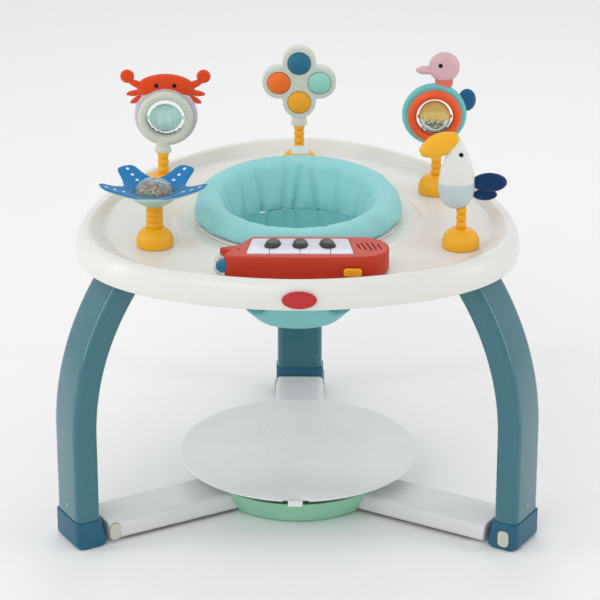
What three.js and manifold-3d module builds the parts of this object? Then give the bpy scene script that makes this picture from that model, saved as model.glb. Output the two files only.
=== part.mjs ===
// Activity jumper: a three-legged stand with a sprung foot platform, a tray with a
// turning fabric seat, a toy piano and five plug-in toys on bending stems.
// Millimetres, +Z up. The origin is on the floor under the middle of the hub, and +Y
// points at the back leg. Legs stand at 90, 210 and 330 degrees.
import * as THREE from 'three';
import { mergeVertices } from 'three/addons/utils/BufferGeometryUtils.js';
import Module from 'manifold-3d';

const wasm = await Module();
wasm.setup();

// ---- Driving dimensions ----
const GAP = 0.3;
const LEG_NAMES = { back: 90, left: 210, right: 330 };

const FOOT_RADIUS = 380;
const LEG_WIDTH = 75;
const LEG_DEPTH = 39;
const LEG_WALL = 4;
const LEG_CORNER = 11;
const LEG_STRAIGHT = 136;
const LEG_BEND = 380;
const LEG_BEND_ANGLE = 0.70;
const FOOT_HEIGHT = 44;
const FOOT_WIDTH = 79;
const FOOT_HALF_DEPTH = 21.5;
const FOOT_TOE = 8;

const BEAM_BOTTOM = 4.3;
const BEAM_TOP = 34;
const BEAM_INNER = 104;
const HUB_BOTTOM_RADIUS = 133;
const HUB_TOP_RADIUS = 150;
const HUB_HEIGHT = 38;
const HUB_FLOOR = 4;
const GUIDE_OUTER = 34;
const GUIDE_INNER = 28;

const CATCH_WIDTH = 18;
const CATCH_HEIGHT = 26;
const CATCH_PROUD = 2.5;
const CATCH_DEPTH = 3.2;
const POCKET_DEPTH = 7.2;
const FOOT_CATCH_Z = 19;
const BEAM_CATCH_RADIUS = 339;

const DISC_RADIUS = 187;
const DISC_CROWN = 71;
const DISC_EDGE = 64.5;
const DISC_UNDER = 59;
const STEM_RADIUS = 27.4;
const STEM_BOTTOM = 22;
const SPRING_RADIUS = 41;
const SPRING_WIRE = 2.2;
const SPRING_TURNS = 4;

const TRAY_MEAN = 328.1;
const TRAY_LOBE = 20.3;
const TRAY_CORNER = 2.85;
const TRAY_BOTTOM = 422;
const TRAY_TOP = 464.6;
const TRAY_FLOOR = 444.6;
const TRAY_SHEET = 3.3;
const FLOOR_MEAN = 291;
const FLOOR_LOBE = 8;
const COLLAR_RADIUS = 188;
const COLLAR_TOP = 449.5;
const OPENING_RADIUS = 148;

const PAD_INNER = 100;
const PAD_OUTER = 161;
const PAD_BOTTOM = 453.4;
const PAD_CREST = 493.5;
const PAD_CREST_RISE = 9.5;
const PAD_LOW = 428;
const SLING_BOTTOM = 285;
const SLING_WALL = 4;
const LEG_HOLE = 44;

const PIVOT_Z = 490;
const PIVOT_GAP = 1.4;
const DOME_RADIUS = 27.5;
const DOME_HEIGHT = 29;
const PLUG_RADIUS = 9;
const TOYS = {
  star: { x: -211, y: -106.5, stem: 12.5 },
  crab: { x: -211, y: 136, stem: 8.6 },
  clover: { x: 0, y: 249, stem: 8 },
  seahorse: { x: 214, y: 130, stem: 8 },
  toucan: { x: 241.5, y: -109, stem: 7.6 },
};

const PIANO_BOTTOM = 457;
const PIANO_TOP = 484;
const PIANO_WALL = 2.5;
const PIANO_BACK = -174;
const PIANO_FRONT = -256;
const KEY_TOP = 485;
const KEY_THICK = 8;
const KEY_GAP = 0.9;
const KEY_BACK = -184;
const KEY_FRONT = -244.5;
const KEY_EDGES = [-90, -39, 4.6, 48.2, 100];
const BLACK_X = [-35, 4.6, 44];
const BLACK_Y = -204.5;
const BLACK_HALF_WIDTH = 10.5;
const BLACK_HALF_LENGTH = 15.5;
const SWITCH = { x: 80, z: 463, width: 26, height: 12 };
const ROLLER = { x: -106, y: -250, z: 467, radius: 10, cover: 14 };
const SPEAKER = { x: 106, y: -214, radius: 18 };

const RING_DEPTH = 14;
const CRAB_RING = { x: 5, z: 563, outer: 43, inner: 29.5, neck: 13 };
const CRAB_BODY_Z = 606;
const SEAHORSE_RING = { x: -4, z: 568, outer: 41.5, inner: 28, neck: 12 };
const FABRIC_FRONT = 7.4;
const CLOVER_Z = 586.5;
const CLOVER_LOBE = 26.5;
const CLOVER_REACH = 32;
const POP_RADIUS = 18;
const STAR_TIP = 82;
const STAR_CUP_TOP = 527;

// ---- Materials ----
function finish(color, roughness, metalness = 0) {
  return new THREE.MeshStandardMaterial({ color, roughness, metalness });
}
const whitePlastic = finish(0xe8e8e2, 0.35);
const legPaint = finish(0x3c6e76, 0.35);
const footPlastic = finish(0x1e5873, 0.45);
const beamPlastic = finish(0xc8cdd0, 0.4);
const mintPlastic = finish(0x7abea0, 0.45);
const discPlastic = finish(0xd0d5d0, 0.5);
const catchPlastic = finish(0xc9cabd, 0.5);
const springSteel = finish(0x9a9da0, 0.3, 0.9);
const seatFabric = finish(0x8ccdd0, 0.9);
const badgeRed = finish(0xc02128, 0.4);
const pianoRed = finish(0xc0422c, 0.45);
const keyWhite = finish(0xd2d3e0, 0.35);
const keyBlack = finish(0x3a3a3c, 0.45);
const yellowPlastic = finish(0xf7b61b, 0.45);
const bluePlastic = finish(0x167aa5, 0.4);
const clearPlastic = finish(0xdfe9ea, 0.1);
const boardGreen = finish(0x2c6b45, 0.6);
const speakerBlack = finish(0x2b2b2d, 0.6);
const cupMint = finish(0xa9cdb9, 0.5);
const starBlue = finish(0x0b6ca5, 0.9);
const greyGreen = finish(0xc6cbbf, 0.45);
const spinnerTeal = finish(0x9ed3cb, 0.15);
const crabOrange = finish(0xe8502a, 0.95);
const cloverGrey = finish(0xd2d6cc, 0.45);
const popPetrol = finish(0x116d88, 0.4);
const popOrange = finish(0xf5762b, 0.4);
const popMint = finish(0x93d3c6, 0.4);
const ringOrange = finish(0xf05a22, 0.4);
const plushPink = finish(0xe2938c, 0.95);
const toucanWhite = finish(0xe2e4e0, 0.6);
const toucanNavy = finish(0x0d3f66, 0.9);

const jumper = new THREE.Group();

// ---- Solid helpers ----
function signedVolume(position, index) {
  const a = new THREE.Vector3();
  const b = new THREE.Vector3();
  const c = new THREE.Vector3();
  let volume = 0;
  for (let i = 0; i < index.length; i += 3) {
    a.fromBufferAttribute(position, index[i]);
    b.fromBufferAttribute(position, index[i + 1]);
    c.fromBufferAttribute(position, index[i + 2]);
    volume += a.dot(b.cross(c)) / 6;
  }
  return volume;
}

// Merges shared vertices, drops collapsed triangles and turns every face outwards.
function closedMesh(geometry) {
  const bare = geometry.clone();
  bare.deleteAttribute('normal');
  bare.deleteAttribute('uv');
  const merged = mergeVertices(bare, 1e-3);
  const source = merged.index.array;
  const kept = [];
  for (let i = 0; i < source.length; i += 3) {
    const [a, b, c] = [source[i], source[i + 1], source[i + 2]];
    if (a !== b && b !== c && a !== c) kept.push(a, b, c);
  }
  const position = merged.getAttribute('position');
  if (signedVolume(position, kept) < 0) {
    for (let i = 0; i < kept.length; i += 3) {
      [kept[i], kept[i + 1]] = [kept[i + 1], kept[i]];
    }
  }
  const clean = new THREE.BufferGeometry();
  clean.setAttribute('position', position.clone());
  clean.setIndex(kept);
  return clean;
}

function solid(geometry) {
  const clean = closedMesh(geometry);
  const vertProperties = new Float32Array(clean.getAttribute('position').array);
  const triVerts = new Uint32Array(clean.getIndex().array);
  return new wasm.Manifold(new wasm.Mesh({ numProp: 3, vertProperties, triVerts }));
}

function geometryOf(body) {
  const mesh = body.getMesh();
  const geometry = new THREE.BufferGeometry();
  geometry.setAttribute('position', new THREE.BufferAttribute(mesh.vertProperties, 3));
  geometry.setIndex(new THREE.BufferAttribute(mesh.triVerts, 1));
  return geometry;
}

function cut(body, ...tools) {
  return tools.reduce((rest, tool) => rest.subtract(tool), body);
}

function join(body, ...others) {
  return others.reduce((whole, other) => whole.add(other), body);
}

function place(parent, name, shape, material) {
  const geometry = shape.getMesh ? geometryOf(shape) : closedMesh(shape);
  const mesh = new THREE.Mesh(geometry, material);
  mesh.name = name;
  parent.add(mesh);
  return mesh;
}

function groupAt(x, y, z, turn = 0) {
  const group = new THREE.Group();
  group.position.set(x, y, z);
  group.rotation.z = turn;
  jumper.add(group);
  return group;
}

// ---- Shape helpers ----
function turned(profile, segments) {
  const points = profile.map(([r, z]) => new THREE.Vector2(r, z));
  return new THREE.LatheGeometry(points, segments).rotateX(Math.PI / 2);
}

function turnedLoop(profile, segments) {
  return turned([...profile, profile[0]], segments);
}

function box(x0, x1, y0, y1, z0, z1) {
  const geometry = new THREE.BoxGeometry(x1 - x0, y1 - y0, z1 - z0);
  return geometry.translate((x0 + x1) / 2, (y0 + y1) / 2, (z0 + z1) / 2);
}

function polygon(points) {
  return new THREE.Shape(points.map(([x, y]) => new THREE.Vector2(x, y)));
}

function roundedRectangle(width, height, radius, segments = 3) {
  const shape = new THREE.Shape();
  const [w, h] = [width / 2 - radius, height / 2 - radius];
  const corners = [[w, h, 0], [-w, h, 1], [-w, -h, 2], [w, -h, 3]];
  const points = [];
  for (const [x, y, quarter] of corners) {
    for (let i = 0; i <= segments; i += 1) {
      const angle = (quarter + i / segments) * Math.PI / 2;
      points.push(new THREE.Vector2(x + radius * Math.cos(angle), y + radius * Math.sin(angle)));
    }
  }
  shape.setFromPoints(points);
  return shape;
}

function upright(shape, z0, z1, curveSegments = 6) {
  const geometry = new THREE.ExtrudeGeometry(shape, {
    depth: z1 - z0, bevelEnabled: false, curveSegments,
  });
  return geometry.translate(0, 0, z0);
}

// A shape drawn in X and Z, with its thickness along Y.
function facing(shape, y0, y1, curveSegments = 6) {
  const geometry = new THREE.ExtrudeGeometry(shape, {
    depth: y1 - y0, bevelEnabled: false, curveSegments,
  });
  return geometry.rotateX(Math.PI / 2).translate(0, y1, 0);
}

function oval(x, y, halfWidth, halfHeight, turn = 0) {
  const shape = new THREE.Shape();
  shape.absellipse(x, y, halfWidth, halfHeight, 0, 2 * Math.PI, false, turn);
  return shape;
}

// A blunt leaf from its root to its tip.
function leaf([x0, y0], [x1, y1], width, steps = 8) {
  const [dx, dy] = [x1 - x0, y1 - y0];
  const length = Math.hypot(dx, dy);
  const sides = [1, -1].map((side) => {
    return Array.from({ length: steps + 1 }, (_, i) => {
      const t = i / steps;
      const reach = side * width / 2 * Math.sin(Math.PI * (0.04 + 0.92 * t)) ** 0.6;
      return [x0 + dx * t + dy / length * reach, y0 + dy * t - dx / length * reach];
    });
  });
  return polygon([...sides[0], ...sides[1].reverse()]);
}

// A rounded form about a vertical axis, stretched in depth.
function egg(profile, segments, depthScale) {
  return turned(profile, segments).scale(1, depthScale, 1);
}

// A ring whose section, a closed list of [radius, height], may change round the ring.
function sectionRing(sectionAt, segments) {
  const position = [];
  const index = [];
  const count = sectionAt(0).length;
  for (let i = 0; i < segments; i += 1) {
    const angle = i * 2 * Math.PI / segments;
    for (const [r, z] of sectionAt(angle)) {
      position.push(r * Math.cos(angle), r * Math.sin(angle), z);
    }
  }
  for (let i = 0; i < segments; i += 1) {
    for (let j = 0; j < count; j += 1) {
      const a = i * count + j;
      const b = i * count + (j + 1) % count;
      const c = ((i + 1) % segments) * count + j;
      const d = ((i + 1) % segments) * count + (j + 1) % count;
      index.push(a, b, c, b, d, c);
    }
  }
  const geometry = new THREE.BufferGeometry();
  geometry.setAttribute('position', new THREE.Float32BufferAttribute(position, 3));
  geometry.setIndex(index);
  return geometry;
}

// ---- Hub: an open bowl with a guide tube for the platform stem ----
function slotForBeam(angle) {
  const slot = box(BEAM_INNER - 2, 170, -FOOT_WIDTH / 2 - 0.5, FOOT_WIDTH / 2 + 0.5,
    HUB_FLOOR + 0.1, BEAM_TOP + 0.4);
  return solid(slot.rotateZ(angle));
}

function buildHub() {
  const bowl = turned([
    [0, 0], [HUB_BOTTOM_RADIUS - 4, 0], [HUB_BOTTOM_RADIUS, 3], [HUB_TOP_RADIUS, HUB_HEIGHT],
    [HUB_TOP_RADIUS - 3.5, HUB_HEIGHT], [HUB_BOTTOM_RADIUS - 3, HUB_FLOOR],
    [GUIDE_OUTER, HUB_FLOOR], [GUIDE_OUTER, HUB_HEIGHT - 2], [GUIDE_INNER, HUB_HEIGHT - 2],
    [GUIDE_INNER, HUB_FLOOR], [0, HUB_FLOOR],
  ], 30);
  const slots = Object.values(LEG_NAMES).map((degrees) => {
    return slotForBeam(THREE.MathUtils.degToRad(degrees));
  });
  place(jumper, 'hub_base', cut(solid(bowl), ...slots), mintPlastic);
}

// ---- One leg: foot, bent tube, beam and the two release catches ----
class LegLine extends THREE.Curve {
  getPoint(t, target = new THREE.Vector3()) {
    const length = LEG_STRAIGHT + LEG_BEND * LEG_BEND_ANGLE;
    const s = t * length;
    if (s <= LEG_STRAIGHT) return target.set(0, 0, FOOT_HEIGHT + GAP + s);
    const angle = (s - LEG_STRAIGHT) / LEG_BEND;
    const x = LEG_BEND * (Math.cos(angle) - 1);
    const z = LEG_BEND * Math.sin(angle);
    return target.set(x, 0, FOOT_HEIGHT + GAP + LEG_STRAIGHT + z);
  }
}

function legSection(extra, hollow) {
  const section = roundedRectangle(LEG_WIDTH + 2 * extra, LEG_DEPTH + 2 * extra, LEG_CORNER + extra, 2);
  if (hollow) {
    const bore = roundedRectangle(LEG_WIDTH - 2 * LEG_WALL, LEG_DEPTH - 2 * LEG_WALL,
      LEG_CORNER - LEG_WALL, 2);
    section.holes.push(new THREE.Path(bore.getPoints()));
  }
  return section;
}

function legTube(extra = 0, hollow = true) {
  const geometry = new THREE.ExtrudeGeometry(legSection(extra, hollow), {
    steps: 10, bevelEnabled: false, extrudePath: new LegLine(),
  });
  return geometry;
}

function catchShape(extra) {
  const radius = CATCH_WIDTH / 2 + extra;
  return roundedRectangle(2 * radius, CATCH_HEIGHT + 2 * extra, radius - 0.05, 3);
}

function catchSolid(x, z, side, extra, inside) {
  const face = FOOT_WIDTH / 2;
  const [y0, y1] = extra > 0 ? [face - inside, face + 5] : [face - inside, face + CATCH_PROUD];
  const geometry = facing(catchShape(extra), Math.min(side * y0, side * y1),
    Math.max(side * y0, side * y1));
  return geometry.translate(x, 0, z);
}

function buildFoot() {
  const side = polygon([
    [-FOOT_HALF_DEPTH, FOOT_HEIGHT], [-FOOT_HALF_DEPTH - FOOT_TOE, 6], [-FOOT_HALF_DEPTH - 2, 0],
    [FOOT_HALF_DEPTH - 5, 0], [FOOT_HALF_DEPTH, 5], [FOOT_HALF_DEPTH, FOOT_HEIGHT],
  ]);
  const block = solid(facing(side, -FOOT_WIDTH / 2, FOOT_WIDTH / 2));
  const plan = roundedRectangle(2 * (FOOT_HALF_DEPTH + FOOT_TOE), FOOT_WIDTH, LEG_CORNER);
  const rounded = solid(upright(plan, -1, FOOT_HEIGHT + 1).translate(-FOOT_TOE, 0, 0));
  const spigotPlan = roundedRectangle(LEG_DEPTH - 2 * LEG_WALL - 0.8, LEG_WIDTH - 2 * LEG_WALL - 0.8,
    LEG_CORNER - LEG_WALL, 2);
  const spigot = solid(upright(spigotPlan, FOOT_HEIGHT - 1, FOOT_HEIGHT + 30));
  const pocket = solid(catchSolid(0, FOOT_CATCH_Z, -1, 0.4, POCKET_DEPTH));
  return cut(join(block.intersect(rounded), spigot), pocket);
}

function buildBeam() {
  const reach = FOOT_RADIUS - FOOT_HALF_DEPTH;
  const middle = (BEAM_BOTTOM + BEAM_TOP) / 2;
  const section = roundedRectangle(BEAM_TOP - BEAM_BOTTOM, FOOT_WIDTH, 8);
  const bar = new THREE.ExtrudeGeometry(section, { depth: reach - BEAM_INNER, bevelEnabled: false });
  bar.rotateY(Math.PI / 2).translate(BEAM_INNER - FOOT_RADIUS, 0, middle);
  const endCut = polygon([
    [-FOOT_HALF_DEPTH - 0.5, FOOT_HEIGHT], [-FOOT_HALF_DEPTH - FOOT_TOE - 0.8, 5],
    [-FOOT_HALF_DEPTH - 3, -2], [10, -2], [10, FOOT_HEIGHT],
  ]);
  const end = solid(facing(endCut, -50, 50));
  const [from, to] = [112 - FOOT_RADIUS, 322 - FOOT_RADIUS];
  const hollows = [-1, 1].map((side) => {
    const [near, far] = [1.5, FOOT_WIDTH / 2 - 3.5];
    return solid(box(from, to, Math.min(side * near, side * far), Math.max(side * near, side * far),
      0, BEAM_TOP - 3.5));
  });
  const x = BEAM_CATCH_RADIUS - FOOT_RADIUS;
  const pocket = solid(catchSolid(x, middle, 1, 0.4, POCKET_DEPTH));
  return cut(solid(bar), end, pocket, ...hollows);
}

function buildLegs() {
  const middle = (BEAM_BOTTOM + BEAM_TOP) / 2;
  for (const [name, degrees] of Object.entries(LEG_NAMES)) {
    const turn = THREE.MathUtils.degToRad(degrees);
    const [x, y] = [FOOT_RADIUS * Math.cos(turn), FOOT_RADIUS * Math.sin(turn)];
    const leg = groupAt(x, y, 0, turn);
    place(leg, `foot_${name}`, buildFoot(), footPlastic);
    place(leg, `leg_${name}`, legTube(), legPaint);
    place(leg, `beam_${name}`, buildBeam(), beamPlastic);
    place(leg, `foot_catch_${name}`, catchSolid(0, FOOT_CATCH_Z, -1, 0, CATCH_DEPTH), catchPlastic);
    const beamX = BEAM_CATCH_RADIUS - FOOT_RADIUS;
    place(leg, `beam_catch_${name}`, catchSolid(beamX, middle, 1, 0, CATCH_DEPTH), catchPlastic);
  }
}

// ---- Sprung platform: crowned disc with its stem, a lock tab and the spring ----
function buildPlatform() {
  const disc = solid(turned([
    [0, STEM_BOTTOM], [STEM_RADIUS, STEM_BOTTOM], [STEM_RADIUS, DISC_UNDER - 3],
    [SPRING_RADIUS + 6, DISC_UNDER - 1], [DISC_RADIUS - 7, DISC_UNDER],
    [DISC_RADIUS - 1, DISC_UNDER + 1.5], [DISC_RADIUS, DISC_EDGE - 2],
    [DISC_RADIUS - 3, DISC_EDGE], [120, 68.8], [0, DISC_CROWN],
  ], 36));
  const notch = solid(box(-22, 18, -200, -DISC_RADIUS + 9, 40, 80));
  place(jumper, 'platform_disc', cut(disc, notch), discPlastic);
  const tab = join(
    solid(box(-14, 8, -188, -130, 54, DISC_UNDER - 1.4)),
    solid(box(-14, 8, -188, -184, 57, DISC_EDGE - 2)),
  );
  place(jumper, 'platform_tab', tab, discPlastic);
}

class SpringLine extends THREE.Curve {
  getPoint(t, target = new THREE.Vector3()) {
    const angle = t * SPRING_TURNS * 2 * Math.PI;
    const bottom = HUB_FLOOR + SPRING_WIRE + 0.4;
    const top = DISC_UNDER - 3 - SPRING_WIRE - 0.6;
    const z = bottom + (top - bottom) * t;
    return target.set(SPRING_RADIUS * Math.cos(angle), SPRING_RADIUS * Math.sin(angle), z);
  }
}

function buildSpring() {
  const wire = new THREE.Shape();
  wire.absarc(0, 0, SPRING_WIRE, 0, 2 * Math.PI);
  const coil = new THREE.ExtrudeGeometry(wire, {
    steps: 12 * SPRING_TURNS, bevelEnabled: false, curveSegments: 3, extrudePath: new SpringLine(),
  });
  place(jumper, 'bounce_spring', coil, springSteel);
}

// ---- Tray: one shell with a rolled rim, a sunken floor, a collar and leg sockets ----
function trayRadius(angle) {
  const third = 3 * (angle - Math.PI / 2);
  return TRAY_MEAN + TRAY_LOBE * Math.cos(third) + TRAY_CORNER * Math.cos(2 * third);
}

function floorRadius(angle) {
  return FLOOR_MEAN + FLOOR_LOBE * Math.cos(3 * (angle - Math.PI / 2));
}

function traySection(angle) {
  const r = trayRadius(angle);
  const f = floorRadius(angle);
  const under = TRAY_FLOOR - TRAY_SHEET;
  return [
    [r - 6, TRAY_BOTTOM], [r - 2.5, TRAY_BOTTOM], [r, 437], [r - 3, 452], [r - 8, 460],
    [r - 16, TRAY_TOP], [r - 23, 463], [f + 1.5, 447.5], [f - 5, TRAY_FLOOR],
    [COLLAR_RADIUS + 2, TRAY_FLOOR], [COLLAR_RADIUS - 4, COLLAR_TOP], [OPENING_RADIUS, COLLAR_TOP],
    [OPENING_RADIUS, 437], [OPENING_RADIUS + 4, 437],
    [OPENING_RADIUS + 4, COLLAR_TOP - TRAY_SHEET], [COLLAR_RADIUS - 4, COLLAR_TOP - TRAY_SHEET],
    [COLLAR_RADIUS + 1, under], [f - 7, under], [f + 4, 444], [r - 20, 459.8], [r - 8, 453],
    [r - 4, 437],
  ];
}

function legSocket(turn) {
  const block = solid(box(-110, -52, -LEG_WIDTH / 2 - 5, LEG_WIDTH / 2 + 5, 417,
    TRAY_FLOOR - TRAY_SHEET / 2));
  const hole = solid(legTube(GAP, false));
  const beyond = solid(box(-140, 0, -60, 60, TRAY_FLOOR - TRAY_SHEET / 2 - 0.5, 480));
  const reach = new THREE.Matrix4().makeRotationZ(turn).setPosition(
    FOOT_RADIUS * Math.cos(turn), FOOT_RADIUS * Math.sin(turn), 0);
  const socket = geometryOf(cut(block, hole, beyond));
  return solid(socket.applyMatrix4(reach));
}

function buildTray() {
  const shell = solid(sectionRing(traySection, 48));
  const sockets = Object.values(LEG_NAMES).map((degrees) => {
    return legSocket(THREE.MathUtils.degToRad(degrees));
  });
  const holes = Object.values(TOYS).map(({ x, y }) => {
    return solid(new THREE.CylinderGeometry(PLUG_RADIUS + 0.4, PLUG_RADIUS + 0.4, 40, 12)
      .rotateX(Math.PI / 2).translate(x, y, TRAY_FLOOR));
  });
  const pianoHole = solid(box(-40.5, 50.5, -232.5, -207.5, TRAY_FLOOR - 20, TRAY_FLOOR + 20));
  place(jumper, 'tray', cut(join(shell, ...sockets), ...holes, pianoHole), whitePlastic);
}

function buildBadge() {
  const plate = new THREE.Shape();
  plate.absellipse(0, 0, 25, 13.5, 0, 2 * Math.PI);
  const badge = facing(plate, 0, 3, 10);
  const front = -trayRadius(1.5 * Math.PI);
  badge.translate(4, front - 3.3, 440);
  place(jumper, 'tray_badge', badge, badgeRed);
}

// ---- Seat: turning ring, its lower retainer, the padded ring and the fabric sling ----
function padSection(angle) {
  const crest = PAD_CREST + PAD_CREST_RISE * Math.sin(angle);
  return [
    [157, PAD_BOTTOM], [PAD_OUTER, 463], [PAD_OUTER - 2, crest - 17], [151, crest - 4], [137, crest],
    [121, crest - 6], [106, 455], [PAD_INNER, 430], [118, PAD_LOW], [133, 440], [139.2, PAD_BOTTOM],
  ];
}

function slingRing(t, inset) {
  const drop = (1 - Math.cos(t * Math.PI / 2)) ** 0.9;
  const z = PAD_LOW - 1.5 - t * (PAD_LOW - 1.5 - SLING_BOTTOM);
  return { rx: 104 - 46 * drop - inset, ry: 104 - 60 * drop - inset, z };
}

function slingBody(inset, lift) {
  const [levels, sides] = [5, 20];
  const position = [0, 0, PAD_LOW - 1.5 + (inset ? 3 : 0)];
  const index = [];
  for (let i = 0; i <= levels; i += 1) {
    const { rx, ry, z } = slingRing(i / levels, inset);
    const height = z + lift * (i / levels) + (inset && i === 0 ? 3 : 0);
    for (let j = 0; j < sides; j += 1) {
      const angle = j * 2 * Math.PI / sides;
      position.push(rx * Math.cos(angle), ry * Math.sin(angle), height);
    }
  }
  position.push(0, 0, SLING_BOTTOM - 2 + lift);
  const last = position.length / 3 - 1;
  for (let j = 0; j < sides; j += 1) {
    const k = (j + 1) % sides;
    index.push(0, 1 + j, 1 + k);
    for (let i = 0; i < levels; i += 1) {
      const [a, b] = [1 + i * sides + j, 1 + i * sides + k];
      index.push(a, a + sides, b, b, a + sides, b + sides);
    }
    index.push(1 + levels * sides + j, last, 1 + levels * sides + k);
  }
  const geometry = new THREE.BufferGeometry();
  geometry.setAttribute('position', new THREE.Float32BufferAttribute(position, 3));
  geometry.setIndex(index);
  return solid(geometry);
}

function buildSeat() {
  place(jumper, 'seat_ring', turnedLoop([
    [140, 431], [146.5, 431], [146.5, COLLAR_TOP + 0.4], [157, COLLAR_TOP + 0.4], [157, 453],
    [140, 453],
  ], 36), whitePlastic);
  place(jumper, 'seat_retainer', turnedLoop([
    [146.9, 431.5], [158, 431.5], [158, 434.5], [155, 436], [146.9, 436],
  ], 36), whitePlastic);
  place(jumper, 'seat_pad', sectionRing(padSection, 36), seatFabric);
  const holes = [-1, 1].map((side) => {
    const hole = new THREE.CylinderGeometry(LEG_HOLE, LEG_HOLE, 160, 14);
    const turn = Math.atan2(-0.42, side);
    hole.rotateZ(Math.PI / 2).rotateY(0.12).rotateZ(turn);
    return solid(hole.translate(95 * side, -40, 344));
  });
  const shell = cut(slingBody(0, 0), slingBody(SLING_WALL, SLING_WALL + 1), ...holes);
  place(jumper, 'seat_sling', shell, seatFabric);
}

// ---- Toy piano ----
function pianoOutline(inset) {
  const [back, front] = [PIANO_BACK - inset, PIANO_FRONT + inset];
  const radius = (back - front) / 2;
  const shape = new THREE.Shape();
  shape.moveTo(-66 + 0.6 * inset, back);
  shape.lineTo(92, back);
  shape.absarc(92, (back + front) / 2, radius, Math.PI / 2, -Math.PI / 2, true);
  shape.quadraticCurveTo(5, front - 6, -97 + inset, front + 2);
  shape.quadraticCurveTo(-108 + 1.4 * inset, front + 6, -100 + 1.4 * inset, front + 18);
  shape.lineTo(-66 + 0.6 * inset, back);
  return shape;
}

function keybedEdge(side, y, extra) {
  const middle = 4.5;
  const half = y < (KEY_BACK + KEY_FRONT) / 2 ? 77.5 : 69.5;
  return middle + side * (half + extra);
}

function keybed(extra) {
  return polygon([
    [keybedEdge(-1, KEY_BACK, extra), KEY_BACK + extra],
    [keybedEdge(-1, KEY_FRONT, extra), KEY_FRONT + 8],
    [keybedEdge(-1, KEY_FRONT, extra) + 6, KEY_FRONT - extra],
    [keybedEdge(1, KEY_FRONT, extra) - 6, KEY_FRONT - extra],
    [keybedEdge(1, KEY_FRONT, extra), KEY_FRONT + 8],
    [keybedEdge(1, KEY_BACK, extra), KEY_BACK + extra],
  ]);
}

function blackKeyPlan(extra) {
  const plan = new THREE.Shape();
  plan.absellipse(0, 0, BLACK_HALF_WIDTH + extra, BLACK_HALF_LENGTH + extra, 0, 2 * Math.PI);
  return plan;
}

function buildKeys() {
  const bed = solid(upright(keybed(0), KEY_TOP - KEY_THICK, KEY_TOP));
  const notches = BLACK_X.map((x) => {
    return solid(upright(blackKeyPlan(1), KEY_TOP - 20, KEY_TOP + 9, 6).translate(x, BLACK_Y, 0));
  });
  for (let i = 0; i < 4; i += 1) {
    const lane = box(KEY_EDGES[i] + KEY_GAP / 2, KEY_EDGES[i + 1] - KEY_GAP / 2,
      KEY_FRONT - 5, KEY_BACK + 5, KEY_TOP - 20, KEY_TOP + 5);
    place(jumper, `key_white_${i + 1}`, cut(bed.intersect(solid(lane)), ...notches), keyWhite);
  }
  BLACK_X.forEach((x, i) => {
    const pill = new THREE.ExtrudeGeometry(blackKeyPlan(-2), {
      depth: KEY_THICK + 2, bevelEnabled: true, bevelThickness: 2, bevelSize: 2, bevelSegments: 2,
      curveSegments: 5,
    });
    place(jumper, `key_black_${i + 1}`, pill.translate(x, BLACK_Y, KEY_TOP - KEY_THICK + 1), keyBlack);
  });
}

function buildPiano() {
  const outer = solid(upright(pianoOutline(0), PIANO_BOTTOM, PIANO_TOP));
  const inner = solid(upright(pianoOutline(PIANO_WALL), PIANO_BOTTOM - 1, PIANO_TOP - PIANO_WALL));
  const window = solid(upright(keybed(0.7), PIANO_TOP - 10, PIANO_TOP + 10));
  const slots = [];
  for (let i = 0; i < 5; i += 1) {
    const slot = box(-1, 1, -9, 9, PIANO_TOP - 10, PIANO_TOP + 5);
    slots.push(solid(slot.rotateZ(0.5).translate(94 + 6 * i, -206 - i, 0)));
  }
  const switchSlot = solid(box(70, 90, -270, PIANO_FRONT + 8, 460, 466));
  const rollerSlot = solid(box(-125, -93, PIANO_FRONT - 12, -236, PIANO_BOTTOM - 5, 480));
  place(jumper, 'piano_case', cut(outer, inner, window, ...slots, switchSlot, rollerSlot), pianoRed);

  const plate = solid(upright(pianoOutline(PIANO_WALL + 0.5), PIANO_BOTTOM, PIANO_BOTTOM + 2.5));
  const foot = solid(box(-60, 70, -246, -190, TRAY_FLOOR + 0.4, PIANO_BOTTOM + 1));
  const plug = solid(box(-40, 50, -232, -208, TRAY_FLOOR - 7, TRAY_FLOOR + 1));
  const hollow = solid(box(-56, 66, -242, -194, TRAY_FLOOR + 3, PIANO_BOTTOM + 8));
  const clear = solid(box(-125, -91, PIANO_FRONT - 12, -234, PIANO_BOTTOM - 5, 480));
  place(jumper, 'piano_base', cut(join(plate, foot, plug), hollow, clear), pianoRed);

  place(jumper, 'piano_board', box(-54, 60, -240, -196, 463, 464.8), boardGreen);
  const cone = turned([
    [0, 466], [SPEAKER.radius - 2, 466], [SPEAKER.radius, 470], [SPEAKER.radius, 474], [0, 474],
  ], 20);
  place(jumper, 'piano_speaker', cone.translate(SPEAKER.x, SPEAKER.y, 0), speakerBlack);

  const handle = facing(roundedRectangle(SWITCH.width, SWITCH.height, 5),
    PIANO_FRONT - 9.5, PIANO_FRONT - 5.2);
  const shank = box(SWITCH.x - 3, SWITCH.x + 3, PIANO_FRONT - 6, PIANO_FRONT + 6,
    SWITCH.z - 2, SWITCH.z + 2);
  const knob = join(solid(handle.translate(SWITCH.x, 0, SWITCH.z)), solid(shank));
  place(jumper, 'mode_switch', knob, yellowPlastic);

  const roller = turned([
    [0, -10], [7, -10], [ROLLER.radius, -6], [ROLLER.radius, 6], [7, 10], [0, 10],
  ], 16).rotateX(Math.PI / 2).translate(ROLLER.x, ROLLER.y, ROLLER.z);
  place(jumper, 'roller_wheel', roller, bluePlastic);
  const cover = turnedLoop([
    [ROLLER.cover - 1.4, -10], [ROLLER.cover - 1.4, 10], [ROLLER.cover, 10], [ROLLER.cover, -10],
  ], 24).rotateX(Math.PI / 2).translate(ROLLER.x, ROLLER.y, ROLLER.z);
  const half = solid(box(-130, -108, -270, -230, 440, 490));
  place(jumper, 'roller_cover', solid(cover).intersect(half), clearPlastic);
}

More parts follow.
